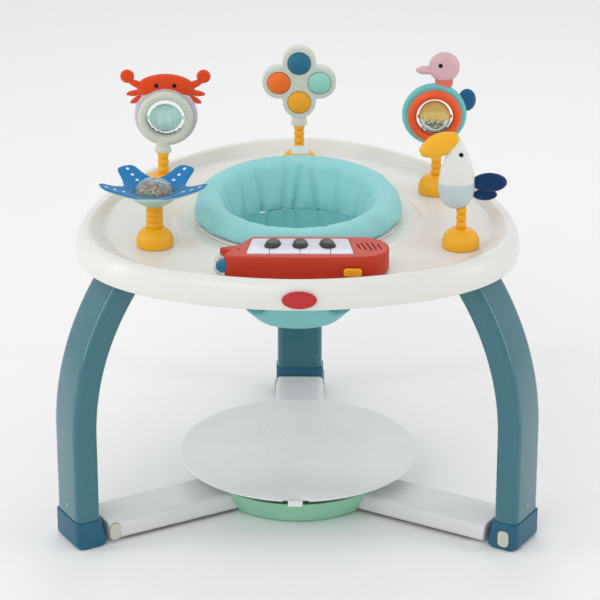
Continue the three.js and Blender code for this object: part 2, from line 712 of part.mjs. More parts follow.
// ---- Plug-in toys ----
function buildBase(name) {
  const { x, y, stem } = TOYS[name];
  const floor = TRAY_FLOOR + GAP;
  const top = TRAY_FLOOR + DOME_HEIGHT;
  place(groupAt(x, y, 0), `${name}_base`, turned([
    [0, TRAY_FLOOR - 8], [PLUG_RADIUS, TRAY_FLOOR - 8], [PLUG_RADIUS, floor],
    [DOME_RADIUS, floor], [DOME_RADIUS, floor + 8], [DOME_RADIUS * 0.88, floor + 17],
    [DOME_RADIUS * 0.62, floor + 24.5], [stem, top], [stem, PIVOT_Z - 6],
    [stem * 0.5, PIVOT_Z - PIVOT_GAP], [0, PIVOT_Z - PIVOT_GAP],
  ], 16), yellowPlastic);
}

function headStem(stem, stemTop, above) {
  return [
    [0, PIVOT_Z + PIVOT_GAP], [stem * 0.5, PIVOT_Z + PIVOT_GAP], [stem, PIVOT_Z + 6], [stem, stemTop],
    ...above,
  ];
}

function buildStar() {
  const { x, y, stem } = TOYS.star;
  const head = groupAt(x, y, 0);
  place(head, 'star_cup', turned(headStem(stem, 508, [
    [14, 509], [19, 514], [24, 524], [24, STAR_CUP_TOP], [0, STAR_CUP_TOP],
  ]), 18), cupMint);

  const arms = [];
  for (let i = 0; i < 40; i += 1) {
    const angle = i * Math.PI / 20;
    const wave = Math.cos(5 * (angle + Math.PI / 2));
    const radius = STAR_TIP - 22 + 22 * wave - 4 * wave * wave;
    arms.push([radius * Math.cos(angle), radius * Math.sin(angle)]);
  }
  const sheet = (thick, lift) => {
    const shape = polygon(arms);
    const hole = new THREE.Path();
    hole.absarc(0, 0, 27, 0, 2 * Math.PI);
    shape.holes.push(hole);
    const flat = upright(shape, 0, thick, 5);
    const position = flat.getAttribute('position');
    for (let i = 0; i < position.count; i += 1) {
      const r = Math.hypot(position.getX(i), position.getY(i));
      position.setZ(i, position.getZ(i) + lift + 0.30 * (r - 25));
    }
    return flat;
  };
  place(head, 'star_arms', sheet(7, 522), starBlue);
  place(head, 'star_bead_dome', turned([
    [0, STAR_CUP_TOP + 0.4], [23.5, STAR_CUP_TOP + 0.4], [23.5, 532], [21, 540], [13, 547],
    [0, 549.5],
  ], 16), clearPlastic);
}

// A ring that faces the front, with a short neck under it.
function toyRing(stem, stemTop, { x, z, outer, inner, neck }) {
  const half = RING_DEPTH / 2;
  const rim = turnedLoop([
    [inner, 2 - half], [inner + 3, -half], [outer - 3, -half], [outer, 3 - half],
    [outer, half - 3], [outer - 3, half], [inner + 3, half], [inner, half - 2],
  ], 24).rotateX(Math.PI / 2).translate(x, 0, z);
  const stalk = turned(headStem(stem, stemTop, [
    [neck - 1, stemTop + 1], [neck, stemTop + 3], [neck, z - outer + 6], [0, z - outer + 6],
  ]), 14);
  return join(solid(rim), solid(stalk));
}

// Room for a ring's neck in the fabric behind it.
function neckRoom(radius) {
  return solid(new THREE.CylinderGeometry(radius, radius, 60, 14).rotateX(Math.PI / 2)
    .translate(0, 0, 515));
}

function buildCrab() {
  const { x, y, stem } = TOYS.crab;
  const head = groupAt(x, y, 0);
  place(head, 'crab_ring', toyRing(stem, 506, CRAB_RING), greyGreen);
  const barrel = turned([
    [0, -28], [3.2, -28], [3.2, -25], [12, -20], [19, -11], [21.5, 0], [19, 11], [12, 20], [3.2, 25],
    [3.2, 28], [0, 28],
  ], 14);
  barrel.rotateY(Math.PI / 2).translate(CRAB_RING.x, 0, CRAB_RING.z);
  place(head, 'crab_spinner', barrel, spinnerTeal);

  const shell = new THREE.Shape();
  shell.absarc(CRAB_RING.x, CRAB_RING.z, CRAB_RING.outer + 6, 0, 2 * Math.PI);
  const opening = new THREE.Path();
  opening.absarc(CRAB_RING.x, CRAB_RING.z, CRAB_RING.inner + 0.5, 0, 2 * Math.PI);
  shell.holes.push(opening);
  const figures = [oval(CRAB_RING.x, CRAB_BODY_Z, 45, 23)];
  for (const side of [-1, 1]) {
    const across = (distance) => CRAB_RING.x + side * distance;
    figures.push(
      leaf([across(30), CRAB_BODY_Z], [across(58), CRAB_BODY_Z + 12], 12),
      oval(across(59), CRAB_BODY_Z + 19, 11, 11),
      leaf([across(34), CRAB_BODY_Z - 6], [across(61), CRAB_BODY_Z - 10], 10),
      leaf([across(32), CRAB_BODY_Z - 12], [across(55), CRAB_BODY_Z - 24], 10),
    );
  }
  const figure = figures.map((shape) => {
    return solid(facing(shape, FABRIC_FRONT + 1.1, FABRIC_FRONT + 16.6));
  });
  const pad = join(solid(facing(shell, FABRIC_FRONT, FABRIC_FRONT + 9.6, 16)), ...figure);
  const room = CRAB_RING.inner + 0.5;
  const clear = solid(new THREE.CylinderGeometry(room, room, 60, 32)
    .translate(CRAB_RING.x, 0, CRAB_RING.z));
  place(head, 'crab_plush', cut(pad, clear, neckRoom(CRAB_RING.neck + 0.8)), crabOrange);
}

function buildClover() {
  const { x, y, stem } = TOYS.clover;
  const head = groupAt(x, y, 0);
  const lobes = {
    top: [0, CLOVER_REACH, popPetrol], left: [-CLOVER_REACH, 0, popOrange],
    right: [CLOVER_REACH, 0, popMint], bottom: [0, -CLOVER_REACH, yellowPlastic],
  };
  const disc = (radius, y0, y1, lx, lz) => {
    return solid(new THREE.CylinderGeometry(radius, radius, y1 - y0, 20)
      .translate(lx, (y0 + y1) / 2, CLOVER_Z + lz));
  };
  let body = solid(box(-28, 28, -9, 9, CLOVER_Z - 28, CLOVER_Z + 28));
  for (const [lx, lz] of Object.values(lobes)) {
    body = body.add(disc(CLOVER_LOBE, -9, 9, lx, lz));
  }
  for (const [lx, lz] of Object.values(lobes)) {
    body = body.subtract(disc(POP_RADIUS + 0.6, -20, -2, lx, lz));
  }
  const stalk = solid(turned(headStem(stem, 514, [
    [12, 515], [12.5, 517], [12.5, 531], [10, 534], [0, 534],
  ]), 14).scale(1, 0.72, 1));
  place(head, 'clover_body', join(body, stalk), cloverGrey);
  for (const [name, [lx, lz, material]] of Object.entries(lobes)) {
    const button = turned([
      [0, 6.5], [POP_RADIUS, 6.5], [POP_RADIUS, 9], [15.5, 13.5], [9, 17], [0, 18],
    ], 16).rotateX(Math.PI / 2).translate(lx, 0, CLOVER_Z + lz);
    place(head, `clover_pop_${name}`, button, material);
  }
}

function buildSeahorse() {
  const { x, y, stem } = TOYS.seahorse;
  const head = groupAt(x, y, 0);
  place(head, 'seahorse_ring', toyRing(stem, 510, SEAHORSE_RING), ringOrange);
  const ball = turned([
    [0, -26.5], [3.2, -26.5], [3.2, -24], [12, -21.5], [20.5, -13.5], [24.5, 0], [20.5, 13.5],
    [12, 21.5], [3.2, 24], [3.2, 26.5], [0, 26.5],
  ], 14);
  ball.rotateY(Math.PI / 2).translate(SEAHORSE_RING.x, 0, SEAHORSE_RING.z);
  place(head, 'seahorse_ball', ball, clearPlastic);

  const outlines = [
    oval(SEAHORSE_RING.x, SEAHORSE_RING.z, 50, 50),
    oval(SEAHORSE_RING.x + 14, 620, 14, 18),
    oval(SEAHORSE_RING.x + 14, 643, 24, 24),
    oval(SEAHORSE_RING.x - 14, 638, 16, 7),
    oval(SEAHORSE_RING.x + 50, 590, 14, 18),
  ];
  const room = SEAHORSE_RING.inner + 1.5;
  const clear = solid(new THREE.CylinderGeometry(room, room, 60, 32)
    .translate(SEAHORSE_RING.x, 0, SEAHORSE_RING.z));
  const fabric = outlines.map((outline) => solid(facing(outline, FABRIC_FRONT, FABRIC_FRONT + 14.6)));
  const plush = cut(join(...fabric), clear, neckRoom(SEAHORSE_RING.neck + 0.8));
  place(head, 'seahorse_plush', plush, plushPink);
}

function buildToucan() {
  const { x, y, stem } = TOYS.toucan;
  const head = groupAt(x, y, 0);
  const stalk = solid(turned(headStem(stem, 503, [[stem, 504], [stem, 512], [0, 512]]), 16));
  const belly = egg([
    [0, 504], [10, 505.5], [20, 512], [26, 524], [27, 540], [24, 560], [19, 580], [13, 600], [7, 614],
    [0, 620],
  ], 14, 0.62).translate(-8, 0, 0);
  const bill = solid(facing(leaf([-6, 616], [-62, 590], 36), -9, 9));
  place(head, 'toucan_body', join(solid(belly), stalk, bill), toucanWhite);
  const feathers = join(...[oval(40, 545, 26, 15), oval(34, 526, 18, 9)].map((outline) => {
    return solid(facing(outline, -7, 7));
  }));
  const clearance = solid(egg([
    [0, 503], [10.5, 505], [20.5, 511.5], [26.5, 524], [27.6, 540], [24.6, 560], [19.6, 580],
    [13.6, 600], [7.6, 614.5], [0, 621],
  ], 14, 0.7).translate(-8, 0, 0));
  place(head, 'toucan_wing', cut(feathers, clearance), toucanNavy);
}

buildHub();
buildLegs();
buildPlatform();
buildSpring();
buildTray();
buildBadge();
buildSeat();
buildPiano();
buildKeys();
Object.keys(TOYS).forEach(buildBase);
buildStar();
buildCrab();
buildClover();
buildSeahorse();
buildToucan();

export default jumper;
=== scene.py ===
# Activity jumper: a three-legged stand with a sprung foot platform, a tray with a turning
# fabric seat, a toy piano and five toys on bending stems. Sizes in the sections are in
# millimetres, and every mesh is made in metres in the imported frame.
import math
import random
import bpy
import bmesh
import numpy as np
from mathutils import Matrix, Vector
from mathutils.bvhtree import BVHTree
from mathutils.geometry import delaunay_2d_cdt


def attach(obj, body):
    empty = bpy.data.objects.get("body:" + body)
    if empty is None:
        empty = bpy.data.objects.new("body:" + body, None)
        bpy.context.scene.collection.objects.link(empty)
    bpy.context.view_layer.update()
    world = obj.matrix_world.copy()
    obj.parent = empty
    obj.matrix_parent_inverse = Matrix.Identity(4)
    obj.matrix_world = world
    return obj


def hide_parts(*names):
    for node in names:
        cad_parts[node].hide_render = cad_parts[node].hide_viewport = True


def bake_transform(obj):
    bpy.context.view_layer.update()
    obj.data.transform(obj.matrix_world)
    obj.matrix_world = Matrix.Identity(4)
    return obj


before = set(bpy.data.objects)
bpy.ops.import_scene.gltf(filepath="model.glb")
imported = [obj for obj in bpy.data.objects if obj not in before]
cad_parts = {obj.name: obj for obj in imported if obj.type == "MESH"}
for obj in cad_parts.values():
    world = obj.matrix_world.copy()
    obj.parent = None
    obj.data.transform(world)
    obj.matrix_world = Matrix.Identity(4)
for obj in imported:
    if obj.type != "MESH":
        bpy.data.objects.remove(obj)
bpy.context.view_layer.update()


# ---- Hub ----
# An open bowl that lies on the floor and ties the three beams together, moulded in one
# shot of mint polypropylene with a guide tube in its middle for the platform's stem.
def close_up(piece, crease=32):
    """Merges doubles, turns every face outwards and shades the piece."""
    shell = bmesh.new()
    shell.from_mesh(piece.data)
    bmesh.ops.remove_doubles(shell, verts=shell.verts, dist=3e-6)
    bmesh.ops.recalc_face_normals(shell, faces=shell.faces)
    shell.to_mesh(piece.data)
    shell.free()
    piece.data.shade_smooth()
    piece.data.set_sharp_from_angle(angle=math.radians(crease))
    return piece


def made(name, points, faces, crease=32):
    """A piece from points in millimetres."""
    mesh = bpy.data.meshes.new(name)
    mesh.from_pydata([(x / 1000, y / 1000, z / 1000) for x, y, z in points], [], faces)
    piece = bpy.data.objects.new(name, mesh)
    bpy.context.scene.collection.objects.link(piece)
    return close_up(piece, crease)


def softened(corners, cut, steps=4, closed=False):
    """A line of points with each corner rounded off by at most cut along its sides."""
    points = [Vector(c) for c in corners]
    count = len(points)
    line = []
    for i, corner in enumerate(points):
        if not closed and i in (0, count - 1):
            line.append(corner)
            continue
        back = points[i - 1] - corner
        ahead = points[(i + 1) % count] - corner
        reach = min(cut, 0.45 * back.length, 0.45 * ahead.length)
        start = corner + back.normalized() * reach
        end = corner + ahead.normalized() * reach
        for k in range(steps + 1):
            t = k / steps
            line.append(start * (1 - t) ** 2 + corner * 2 * t * (1 - t) + end * t * t)
    return line


def skinned(name, rings, looped=False, capped=True, crease=32):
    """A skin over rings of points that follow each other."""
    count = len(rings[0])
    points = [p for ring in rings for p in ring]
    faces = []
    for i in range(len(rings) if looped else len(rings) - 1):
        j = (i + 1) % len(rings)
        for k in range(count):
            m = (k + 1) % count
            faces.append((i * count + k, j * count + k, j * count + m, i * count + m))
    if capped and not looped:
        faces.append(tuple(range(count)))
        faces.append(tuple((len(rings) - 1) * count + k for k in reversed(range(count))))
    return made(name, points, faces, crease)


def faced(x, y, z, along):
    """A point of a form drawn up the Z axis, laid along +X or out towards the front."""
    return {"Z": (x, y, z), "Y": (x, -z, y), "X": (z, y, -x)}[along]


def turned(name, profile, sides=96, middle=(0, 0, 0), along="Z", looped=False, crease=32):
    """A lathe form from a profile of (radius, height)."""
    rings = []
    for i in range(sides):
        a = 2 * math.pi * i / sides
        ring = [faced(r * math.cos(a), r * math.sin(a), h, along) for r, h in profile]
        rings.append([tuple(p[n] + middle[n] for n in range(3)) for p in ring])
    count = len(profile)
    points = [p for ring in rings for p in ring]
    faces = []
    for i in range(sides):
        j = (i + 1) % sides
        for k in range(count if looped else count - 1):
            m = (k + 1) % count
            faces.append((i * count + k, j * count + k, j * count + m, i * count + m))
    return made(name, points, faces, crease)


def inset(outline, amount):
    """A closed outline, drawn anticlockwise, moved inwards by amount."""
    points = [Vector(p).to_2d() for p in outline]
    count = len(points)
    moved = []
    for i, point in enumerate(points):
        back = (point - points[i - 1]).normalized()
        ahead = (points[(i + 1) % count] - point).normalized()
        normal = Vector((-(back.y + ahead.y), back.x + ahead.x))
        if normal.length < 1e-6:
            normal = Vector((-back.y, back.x))
        normal.normalize()
        stretch = max(0.6, normal.dot(Vector((-back.y, back.x))))
        moved.append(point + normal * amount / stretch)
    return moved


def slab(name, outline, low, high, edge=1.0, steps=3, along="Z", middle=(0, 0, 0), crease=32):
    """A plate with rounded edges. Its outline is anticlockwise seen from high."""
    levels = []
    for k in range(steps + 1):
        t = k / steps * math.pi / 2
        levels.append((edge * (1 - math.sin(t)), low + edge * (1 - math.cos(t))))
    levels += [(i, low + high - h) for i, h in reversed(levels)]
    rings = []
    for shrink, height in levels:
        ring = [faced(p.x, p.y, height, along) for p in inset(outline, shrink)]
        rings.append([tuple(p[n] + middle[n] for n in range(3)) for p in ring])
    return skinned(name, rings, crease=crease)


def settled(piece):
    """The piece with its modifiers worked into its mesh."""
    bpy.context.view_layer.update()
    graph = bpy.context.evaluated_depsgraph_get()
    mesh = bpy.data.meshes.new_from_object(piece.evaluated_get(graph))
    piece.modifiers.clear()
    piece.data = mesh
    return piece


def combined(piece, tools, how="DIFFERENCE", crease=32):
    """The piece with other forms cut out of it or joined to it. The tools are used up."""
    for tool in tools:
        step = piece.modifiers.new("step", "BOOLEAN")
        step.operation = how
        step.solver = "MANIFOLD"
        step.object = tool
        settled(piece)
        bpy.data.objects.remove(tool)
    return close_up(piece, crease)


def brick(name, low, high, turn=0.0, shift=(0, 0, 0), edge=0.0):
    """A block between two corners, turned about Z and then shifted."""
    outline = [(low[0], low[1]), (high[0], low[1]), (high[0], high[1]), (low[0], high[1])]
    outline = softened(outline, edge, 3, True) if edge else [Vector(p) for p in outline]
    rings = []
    for z in (low[2], high[2]):
        ring = []
        for p in outline:
            x = p.x * math.cos(turn) - p.y * math.sin(turn) + shift[0]
            y = p.x * math.sin(turn) + p.y * math.cos(turn) + shift[1]
            ring.append((x, y, z + shift[2]))
        rings.append(ring)
    return skinned(name, rings)


def paint(code, light=1.0):
    """A colour seen as 0xRRGGBB, less the little white that the surface's gloss adds to it."""
    parts = [((code >> s) & 255) / 255 for s in (16, 8, 0)]
    linear = [p / 12.92 if p <= 0.04045 else ((p + 0.055) / 1.055) ** 2.4 for p in parts]
    return (*(min(0.92, max(0.003, p * light - 0.018)) for p in linear), 1.0)


def surface(name, code, rough, drift, cloud):
    """A material whose colour drifts softly, with its bump still to come."""
    finish = bpy.data.materials.new(name)
    finish.use_nodes = True
    nodes, links = finish.node_tree.nodes, finish.node_tree.links
    place = nodes.new("ShaderNodeTexCoord")
    soft = nodes.new("ShaderNodeTexNoise")
    soft.inputs["Scale"].default_value = cloud
    soft.inputs["Detail"].default_value = 3
    shade = nodes.new("ShaderNodeMix")
    shade.data_type = "RGBA"
    shade.inputs[6].default_value = paint(code, 1 - drift)
    shade.inputs[7].default_value = paint(code, 1 + drift)
    level = nodes.new("ShaderNodeMapRange")
    level.inputs["To Min"].default_value = max(0.03, rough - 0.06)
    level.inputs["To Max"].default_value = rough + 0.06
    shader = nodes["Principled BSDF"]
    links.new(place.outputs["Object"], soft.inputs["Vector"])
    links.new(soft.outputs["Fac"], shade.inputs[0])
    links.new(shade.outputs[2], shader.inputs["Base Color"])
    links.new(soft.outputs["Fac"], level.inputs["Value"])
    links.new(level.outputs["Result"], shader.inputs["Roughness"])
    return finish, place, shade


def embossed(finish, height, strength, depth):
    """Turns a height into the material's bump."""
    nodes, links = finish.node_tree.nodes, finish.node_tree.links
    bump = nodes.new("ShaderNodeBump")
    bump.inputs["Strength"].default_value = strength
    bump.inputs["Distance"].default_value = depth / 1000
    links.new(height, bump.inputs["Height"])
    links.new(bump.outputs["Normal"], nodes["Principled BSDF"].inputs["Normal"])


def moulded(name, code, rough=0.42, drift=0.05, grain=0.35, gloss=0.0, pitch=0.5):
    """Injection-moulded plastic with its fine spark-eroded grain."""
    finish, place, _ = surface(name, code, rough, drift, 14)
    nodes, links = finish.node_tree.nodes, finish.node_tree.links
    speck = nodes.new("ShaderNodeTexNoise")
    speck.inputs["Scale"].default_value = 1000 / pitch
    speck.inputs["Detail"].default_value = 2
    links.new(place.outputs["Object"], speck.inputs["Vector"])
    embossed(finish, speck.outputs["Fac"], grain, 0.08)
    nodes["Principled BSDF"].inputs["Coat Weight"].default_value = gloss
    nodes["Principled BSDF"].inputs["Coat Roughness"].default_value = 0.12
    return finish


def dressed(piece, finish, body, *stands_for, slot=None):
    """Gives a piece its material and its place on the frame."""
    piece.data.materials.clear()
    piece.data.materials.append(finish)
    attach(piece, body)
    if stands_for:
        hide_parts(*stands_for)
    return piece


mint_finish = moulded("mint_polypropylene", 0x9CD6B8, rough=0.45)
hub_profile = [(0, 0), (129, 0), (133, 3), (150, 38), (146.5, 38), (130, 4), (34, 4), (34, 36),
               (28, 36), (28, 4), (0, 4)]
hub = turned("hub_bowl", softened(hub_profile, 3.5, 3), 144)
stations = {"back": 90, "left": 210, "right": 330}
combined(hub, [brick("beam_slot", (102, -40, 4.1), (170, 40, 34.5), math.radians(a))
               for a in stations.values()])
dressed(hub, mint_finish, "frame", "hub_base", slot="hub_mint")


# ---- Beams ----
# Three pale grey covers from the hub to the feet: rounded bars, open underneath, with a
# rib down the middle, that snap over the foot's toe and are held by a release button.
foot_radius = 380
beam_finish = moulded("pale_grey_cover", 0xDFE0E1, rough=0.36)


def on_leg(points, angle):
    """Points drawn at a foot, with +X outwards, carried to the leg at that angle."""
    a = math.radians(angle)
    carried = []
    for x, y, z in points:
        carried.append(((x + foot_radius) * math.cos(a) - y * math.sin(a),
                        (x + foot_radius) * math.sin(a) + y * math.cos(a), z))
    return carried


def beam(side, angle):
    section = softened([(-39.5, 4.3), (39.5, 4.3), (39.5, 34), (-39.5, 34)], 9, 6, True)
    rings = []
    for x in (-276, -275, -200, -100, -33, -31.5):
        shrink = 1.2 if x in (-276, -31.5) else 0
        rings.append([(x + (34 - z) * (-0.12 if x > -40 else 0), y * (1 - shrink / 40), z - shrink * (z > 20))
                      for y, z in section])
    bar = skinned(f"beam_cover_{side}", [on_leg(r, angle) for r in rings])
    a = math.radians(angle)
    hollows = [brick("beam_hollow", (115, min(s * 1.5, s * 36), 0), (320, max(s * 1.5, s * 36), 30.5), a,
                     edge=3)
               for s in (-1, 1)]
    pocket_box = [(-50.4, 6), (-31.6, 6), (-31.6, 32.3), (-50.4, 32.3)]
    pocket = [Vector((x, z)) for x, z in softened(pocket_box, 9.2, 6, True)]
    well = [on_leg([(p.x, y, p.y) for p in pocket], angle) for y in (32.3, 42)]
    return combined(bar, hollows + [skinned("button_well", well)])


for side, angle in stations.items():
    dressed(beam(side, angle), beam_finish, "frame", f"beam_{side}", slot="beam_grey")


# ---- Feet ----
# The dark blue corner blocks that stand on the floor. Each is one moulding: it takes the
# beam's end on its toe and the leg tube over its spigot, and holds a release button.
foot_finish = moulded("dark_blue_foot", 0x1F6079, rough=0.4)


def foot(side, angle):
    rings = []
    for z, outer, toe, shrink in ((0, 15.5, -22.5, 1.5), (0.8, 17, -24.5, 0.5), (5, 21, -29, 0),
                                  (9, 21.5, -29, 0), (26, 21.5, -25.4, 0), (43, 21.5, -21.7, 0),
                                  (44, 20.6, -20.8, 0.8)):
        half = 39.5 - shrink
        corners = [(toe, -half), (outer, -half), (outer, half), (toe, half)]
        rings.append(on_leg([(p.x, p.y, z) for p in softened(corners, 10, 6, True)], angle))
    block = skinned(f"foot_block_{side}", rings)
    pocket = softened([(-9.4, 5.6), (9.4, 5.6), (9.4, 32.4), (-9.4, 32.4)], 9.2, 6, True)
    well = [on_leg([(p.x, y, p.y) for p in pocket], angle) for y in (-42, -32.3)]
    return combined(block, [skinned("button_well", well)])


for side, angle in stations.items():
    dressed(foot(side, angle), foot_finish, "frame", f"foot_{side}", slot="foot_blue")


# ---- Release buttons ----
# Small oblong cream buttons, one low in each foot and one near each beam's end. Pressing
# them frees the leg for packing away. They are moulded with a shallow thumb hollow.
button_finish = moulded("cream_button", 0xC9CABD, rough=0.48)


def release_button(name, angle, x, z, side):
    rings = []
    for depth, shrink in ((-3.2, 0.4), (1.2, 0), (2.1, 0.4), (2.5, 1.4), (2.1, 4.5)):
        corners = [(-9, -13), (9, -13), (9, 13), (-9, 13)]
        pill = [p * (1 - shrink / 10) for p in softened(corners, 8.9, 7, True)]
        rings.append(on_leg([(p.x + x, side * (39.5 + depth), p.y + z) for p in pill], angle))
    return skinned(name, rings)


for side, angle in stations.items():
    dressed(release_button(f"foot_button_{side}", angle, 0, 19, -1), button_finish,
            f"foot_button_{side}", f"foot_catch_{side}", slot="catch_cream")
    dressed(release_button(f"beam_button_{side}", angle, -41, 19.15, 1), button_finish,
            f"beam_button_{side}", f"beam_catch_{side}", slot="catch_cream")


# ---- Leg tubes ----
# Bent tubes of a rounded oblong section, lacquered in a glossy grey teal. The lower end
# slips over the foot's spigot and the upper end into a socket under the tray.
leg_finish = moulded("teal_lacquer", 0x35707C, rough=0.26, drift=0.05, grain=0.05, gloss=0.55, pitch=2)
leg_straight, leg_bend, leg_sweep, leg_start = 136, 380, 0.70, 44.3


def leg_rings(grow=0.0, steps=36):
    section = softened([(-19.5 - grow, -37.5 - grow), (19.5 + grow, -37.5 - grow),
                        (19.5 + grow, 37.5 + grow), (-19.5 - grow, 37.5 + grow)], 12, 7, True)
    rings = []
    for i in range(steps + 5):
        if i < 5:
            shift, lift, tilt = 0, leg_start + leg_straight * i / 4, 0
        else:
            tilt = leg_sweep * (i - 4) / steps
            shift = leg_bend * (math.cos(tilt) - 1)
            lift = leg_start + leg_straight + leg_bend * math.sin(tilt)
        rings.append([(shift + p.x * math.cos(tilt), p.y, lift + p.x * math.sin(tilt)) for p in section])
    return rings


for side, angle in stations.items():
    tube = skinned(f"leg_tube_{side}", [on_leg(r, angle) for r in leg_rings()])
    dressed(tube, leg_finish, "frame", f"leg_{side}", slot="leg_teal")


# ---- Leg screws ----
# One cross-head screw through each leg's outer face into the foot's spigot: a zinc-plated
# pan head in a small countersink. One tree sets a screw head at every marked spot.
steel_finish, steel_place, _ = surface("plated_steel", 0xA9ADB0, 0.3, 0.05, 60)
steel_finish.node_tree.nodes["Principled BSDF"].inputs["Metallic"].default_value = 1.0
steel_brush = steel_finish.node_tree.nodes.new("ShaderNodeTexNoise")
steel_brush.inputs["Scale"].default_value = 900
steel_finish.node_tree.links.new(steel_place.outputs["Object"], steel_brush.inputs["Vector"])
embossed(steel_finish, steel_brush.outputs["Fac"], 0.3, 0.03)


def strewn(name, form, spots, size, finish):
    """Sets one small form at every spot, each spot a point and the way it faces."""
    seats = bpy.data.meshes.new(f"{name}_spots")
    seats.from_pydata([Vector(p) / 1000 for p, _ in spots], [], [])
    facing = seats.attributes.new("facing", "FLOAT_VECTOR", "POINT")
    facing.data.foreach_set("vector", [c for _, n in spots for c in Vector(n).normalized()])
    carrier = bpy.data.objects.new(name, seats)
    bpy.context.scene.collection.objects.link(carrier)
    tree = bpy.data.node_groups.new(f"{name}_tree", "GeometryNodeTree")
    tree.interface.new_socket("Geometry", in_out="INPUT", socket_type="NodeSocketGeometry")
    scale_in = tree.interface.new_socket("Size", in_out="INPUT", socket_type="NodeSocketFloat")
    form_in = tree.interface.new_socket("Form", in_out="INPUT", socket_type="NodeSocketObject")
    finish_in = tree.interface.new_socket("Finish", in_out="INPUT", socket_type="NodeSocketMaterial")
    tree.interface.new_socket("Geometry", in_out="OUTPUT", socket_type="NodeSocketGeometry")
    nodes, links = tree.nodes, tree.links
    start, end = nodes.new("NodeGroupInput"), nodes.new("NodeGroupOutput")
    shape = nodes.new("GeometryNodeObjectInfo")
    way = nodes.new("GeometryNodeInputNamedAttribute")
    way.data_type = "FLOAT_VECTOR"
    way.inputs["Name"].default_value = "facing"
    aim = nodes.new("FunctionNodeAlignRotationToVector")
    aim.axis = "Z"
    each = nodes.new("GeometryNodeInstanceOnPoints")
    real = nodes.new("GeometryNodeRealizeInstances")
    coat = nodes.new("GeometryNodeSetMaterial")
    links.new(start.outputs["Form"], shape.inputs["Object"])
    links.new(start.outputs["Geometry"], each.inputs["Points"])
    links.new(shape.outputs["Geometry"], each.inputs["Instance"])
    links.new(way.outputs["Attribute"], aim.inputs["Vector"])
    links.new(aim.outputs["Rotation"], each.inputs["Rotation"])
    links.new(start.outputs["Size"], each.inputs["Scale"])
    links.new(each.outputs["Instances"], real.inputs["Geometry"])
    links.new(real.outputs["Geometry"], coat.inputs["Geometry"])
    links.new(start.outputs["Finish"], coat.inputs["Material"])
    links.new(coat.outputs["Geometry"], end.inputs["Geometry"])
    step = carrier.modifiers.new("strew", "NODES")
    step.node_group = tree
    step[scale_in.identifier] = size
    step[form_in.identifier] = form
    step[finish_in.identifier] = finish
    settled(carrier)
    bpy.data.objects.remove(form)
    return close_up(carrier, 40)


head = turned("screw_form", softened([(0, -1), (4.4, -1), (4.4, 0.6), (2.6, 1.5), (0, 1.6)], 0.5, 2), 20)
combined(head, [brick("cross", (-2.2, -0.4, 0.9), (2.2, 0.4, 3)),
                brick("cross", (-0.4, -2.2, 0.9), (0.4, 2.2, 3))])
spots = []
for angle in stations.values():
    a = math.radians(angle)
    spots.append((on_leg([(19.6, 0, 61)], angle)[0], (math.cos(a), math.sin(a), 0)))
dressed(strewn("leg_screws", head, spots, 1.0, steel_finish), steel_finish, "frame", slot="spring_steel")


# ---- Foot platform ----
# The crowned disc the child bounces on, moulded with its stem in pale polypropylene. A
# rosette of small raised studs round the middle keeps bare feet from slipping.
disc_finish = moulded("platform_polypropylene", 0xE6E9E6, rough=0.5, grain=0.5)
disc_profile = [(0, 22), (27.4, 22), (27.4, 56), (47, 58), (180, 59), (186, 60.5), (187, 62.5), (184, 64.5),
                (160, 66.3), (120, 68.6), (60, 70.4), (0, 71)]
disc = turned("platform_disc_top", softened(disc_profile, 6, 4), 180)
combined(disc, [brick("tab_notch", (-22, -200, 40), (18, -178, 80), edge=3)])
dressed(disc, disc_finish, "platform", "platform_disc", slot="disc_grey")
stud = turned("stud_form", softened([(0, -0.6), (1.5, -0.6), (1.2, 0.5), (0, 0.7)], 0.5, 2), 10)
spots = []
for ring in range(1, 11):
    r = 8.5 * ring
    for k in range(6 * ring):
        a = 2 * math.pi * k / (6 * ring) + 0.3 * ring
        if ring > 6 and (k + ring) % 2:
            continue
        spots.append(((r * math.cos(a), r * math.sin(a), 71 - 0.6 * (r / 60) ** 2), (0, 0, 1)))
dressed(strewn("platform_studs", stud, spots, 1.0, disc_finish), disc_finish, "platform", slot="disc_grey")


# ---- Platform lock tab ----
# A thin sliding tab under the disc's front notch. Pushed in, it locks the platform still.
tab = brick("lock_tab", (-14, -188, 54), (8, -130, 57.6), edge=2)
nose = brick("tab_nose", (-14, -188, 57), (8, -184, 62.5), edge=1)
combined(tab, [nose], "UNION")
dressed(tab, disc_finish, "lock", "platform_tab", slot="disc_grey")


# ---- Bounce spring ----
# The coil spring between the hub's floor and the disc, wound from bright drawn wire. The
# packed coil has its true shape, so it only takes the plated steel finish.
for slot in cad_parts["bounce_spring"].material_slots:
    slot.material = steel_finish


# ---- Tray ----
# One thin white moulding with three soft corners: a rolled rim, a sunken floor for toys, a
# low collar round the seat, and three sockets underneath that the leg tubes push into.
tray_finish = moulded("white_tray_plastic", 0xE6E6E1, rough=0.34, drift=0.015, grain=0.25, gloss=0.15,
                      pitch=0.8)
toy_places = {"star": (-211, -106.5), "crab": (-211, 136), "clover": (0, 249), "seahorse": (214, 130),
              "toucan": (241.5, -109)}


def tray_edge(a):
    third = 3 * (a - math.pi / 2)
    return 328.1 + 20.3 * math.cos(third) + 2.85 * math.cos(2 * third)


